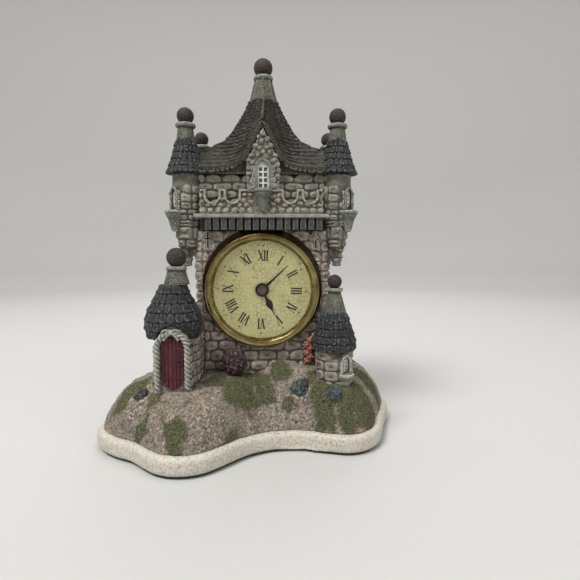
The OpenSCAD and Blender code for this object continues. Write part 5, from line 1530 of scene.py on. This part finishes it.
NUMERALS = ("I", "II", "III", "IV", "V", "VI", "VII", "VIII", "IX", "X", "XI", "XII")
WIDTHS = {"I": 1.55, "V": 3.2, "X": 3.3}
TALL, NUMERAL_R, DOT_R, DIAL_TURN = 3.2, 21.1, 27, 2
strokes = []
for hour, numeral in enumerate(NUMERALS, 1):
    turn = math.radians(30 * hour + DIAL_TURN)
    widths = [WIDTHS[letter] for letter in numeral]
    squeeze = min(1, 8.6 / sum(widths))
    left = -sum(widths) * squeeze / 2
    for letter, width in zip(numeral, widths):
        middle, half = left + width * squeeze / 2, (width * squeeze - 0.55) / 2
        left += width * squeeze
        if letter == "I":
            parts = [((middle, -TALL), (middle, TALL), 0.92 * squeeze)]
            feet = [(middle, TALL, 0.6), (middle, -TALL, 0.6)]
        elif letter == "V":
            parts = [((middle - half * 0.85, TALL), (middle + 0.1, -TALL), 0.95 * squeeze),
                     ((middle + half * 0.85, TALL), (middle + 0.1, -TALL), 0.4)]
            feet = [(middle - half * 0.85, TALL, 0.65), (middle + half * 0.85, TALL, 0.55)]
        else:
            parts = [((middle - half, TALL), (middle + half, -TALL), 0.95 * squeeze),
                     ((middle + half, TALL), (middle - half, -TALL), 0.4)]
            feet = [(middle + side * half, end * TALL, 0.5) for side in (-1, 1) for end in (-1, 1)]
        parts += [((u - reach * squeeze, v), (u + reach * squeeze, v), 0.36) for u, v, reach in feet]
        for (u1, v1), (u2, v2), width in parts:
            ends = [((NUMERAL_R + v) * math.sin(turn) + u * math.cos(turn),
                     DIAL_Z + (NUMERAL_R + v) * math.cos(turn) - u * math.sin(turn))
                    for u, v in ((u1, v1), (u2, v2))]
            strokes.append((*ends, width))
dress(bars("roman_numerals", strokes), ink, body="clock_insert")
dots = []
for hour in range(12):
    turn = math.radians(30 * hour + DIAL_TURN)
    dots.append(rod("hour_dots", (DOT_R * math.sin(turn), PRINT_Y, DIAL_Z + DOT_R * math.cos(turn)), 0.5,
                    PRINT_THICK, vertices=20))
dress(fused("hour_dots", *dots), ink, body="clock_insert")


def moulded(name, colour, roughness=0.45, grain=900, depth=0.15, spread=0.25, metallic=0.0):
    """Plain moulded or turned stock with a little unevenness in colour, gloss and surface."""
    material, tree, shader, place = painted(name, colour, roughness)
    shader.inputs["Metallic"].default_value = metallic
    uneven = noise(tree, place, grain, 4)
    link(material, ramp(tree, uneven, ((0.3, [c * (1 - spread) for c in colour]),
                                       (0.7, [min(1, c * (1 + spread)) for c in colour]))),
         shader.inputs["Base Color"])
    link(material, plus(tree, roughness - 0.1, noise(tree, place, grain / 4), 0.2),
         shader.inputs["Roughness"])
    bump(tree, shader, uneven, depth)
    return material


hand_black = moulded("hand_black", (0.006, 0.006, 0.006), 0.5, spread=0.3)
kept_shape("minute_hand", "minute_blade", hand_black, "minute_arbor", 0.05)
kept_shape("hour_hand", "hour_spade", hand_black, "hour_arbor", 0.05)
kept_shape("hand_cap", "bronze_cap", moulded("cap_bronze", (0.16, 0.11, 0.09), 0.35, metallic=1.0),
           "minute_arbor", 0.1)
case_black = moulded("case_black", (0.012, 0.012, 0.013), 0.42, grain=1400, depth=0.3)
kept_shape("insert_case", "movement_case", case_black, "clock_insert", 0.3)
kept_shape("battery_door", "cell_cover", case_black, "battery_cover", 0.2)
rubber = moulded("band_rubber", (0.02, 0.02, 0.021), 0.75, grain=1800, depth=0.4)
kept_shape("grip_band", "grip_ring", rubber, "clock_insert", 0.3)
for name, colour, roughness, rest, nodes in (
        ("cell_steel", (0.62, 0.62, 0.6), 0.3, {"metallic": 1.0}, ("battery",)),
        ("contact_spring", (0.6, 0.58, 0.52), 0.3, {"metallic": 1.0}, ("battery_contacts",)),
        ("plate_white", (0.6, 0.6, 0.56), 0.5, {"spread": 0.06}, ("movement_plate", "movement_back_plate")),
        ("lamination_steel", (0.3, 0.3, 0.3), 0.4, {"metallic": 1.0}, ("stator",)),
        ("copper_winding", (0.5, 0.2, 0.08), 0.35, {"grain": 2500, "metallic": 1.0}, ("coil",)),
        ("board_green", (0.03, 0.12, 0.05), 0.45, {}, ("circuit_board",)),
        ("gear_brown", (0.16, 0.09, 0.05), 0.45, {}, ("rotor", "cannon_pinion", "set_knob")),
        ("gear_nylon", (0.55, 0.52, 0.42), 0.5, {"spread": 0.08},
         ("intermediate_wheel", "seconds_wheel", "third_wheel", "centre_wheel", "minute_wheel",
          "hour_wheel"))):
    stock = moulded(name, colour, roughness, **rest)
    for node in nodes:
        paint_node(node, stock)
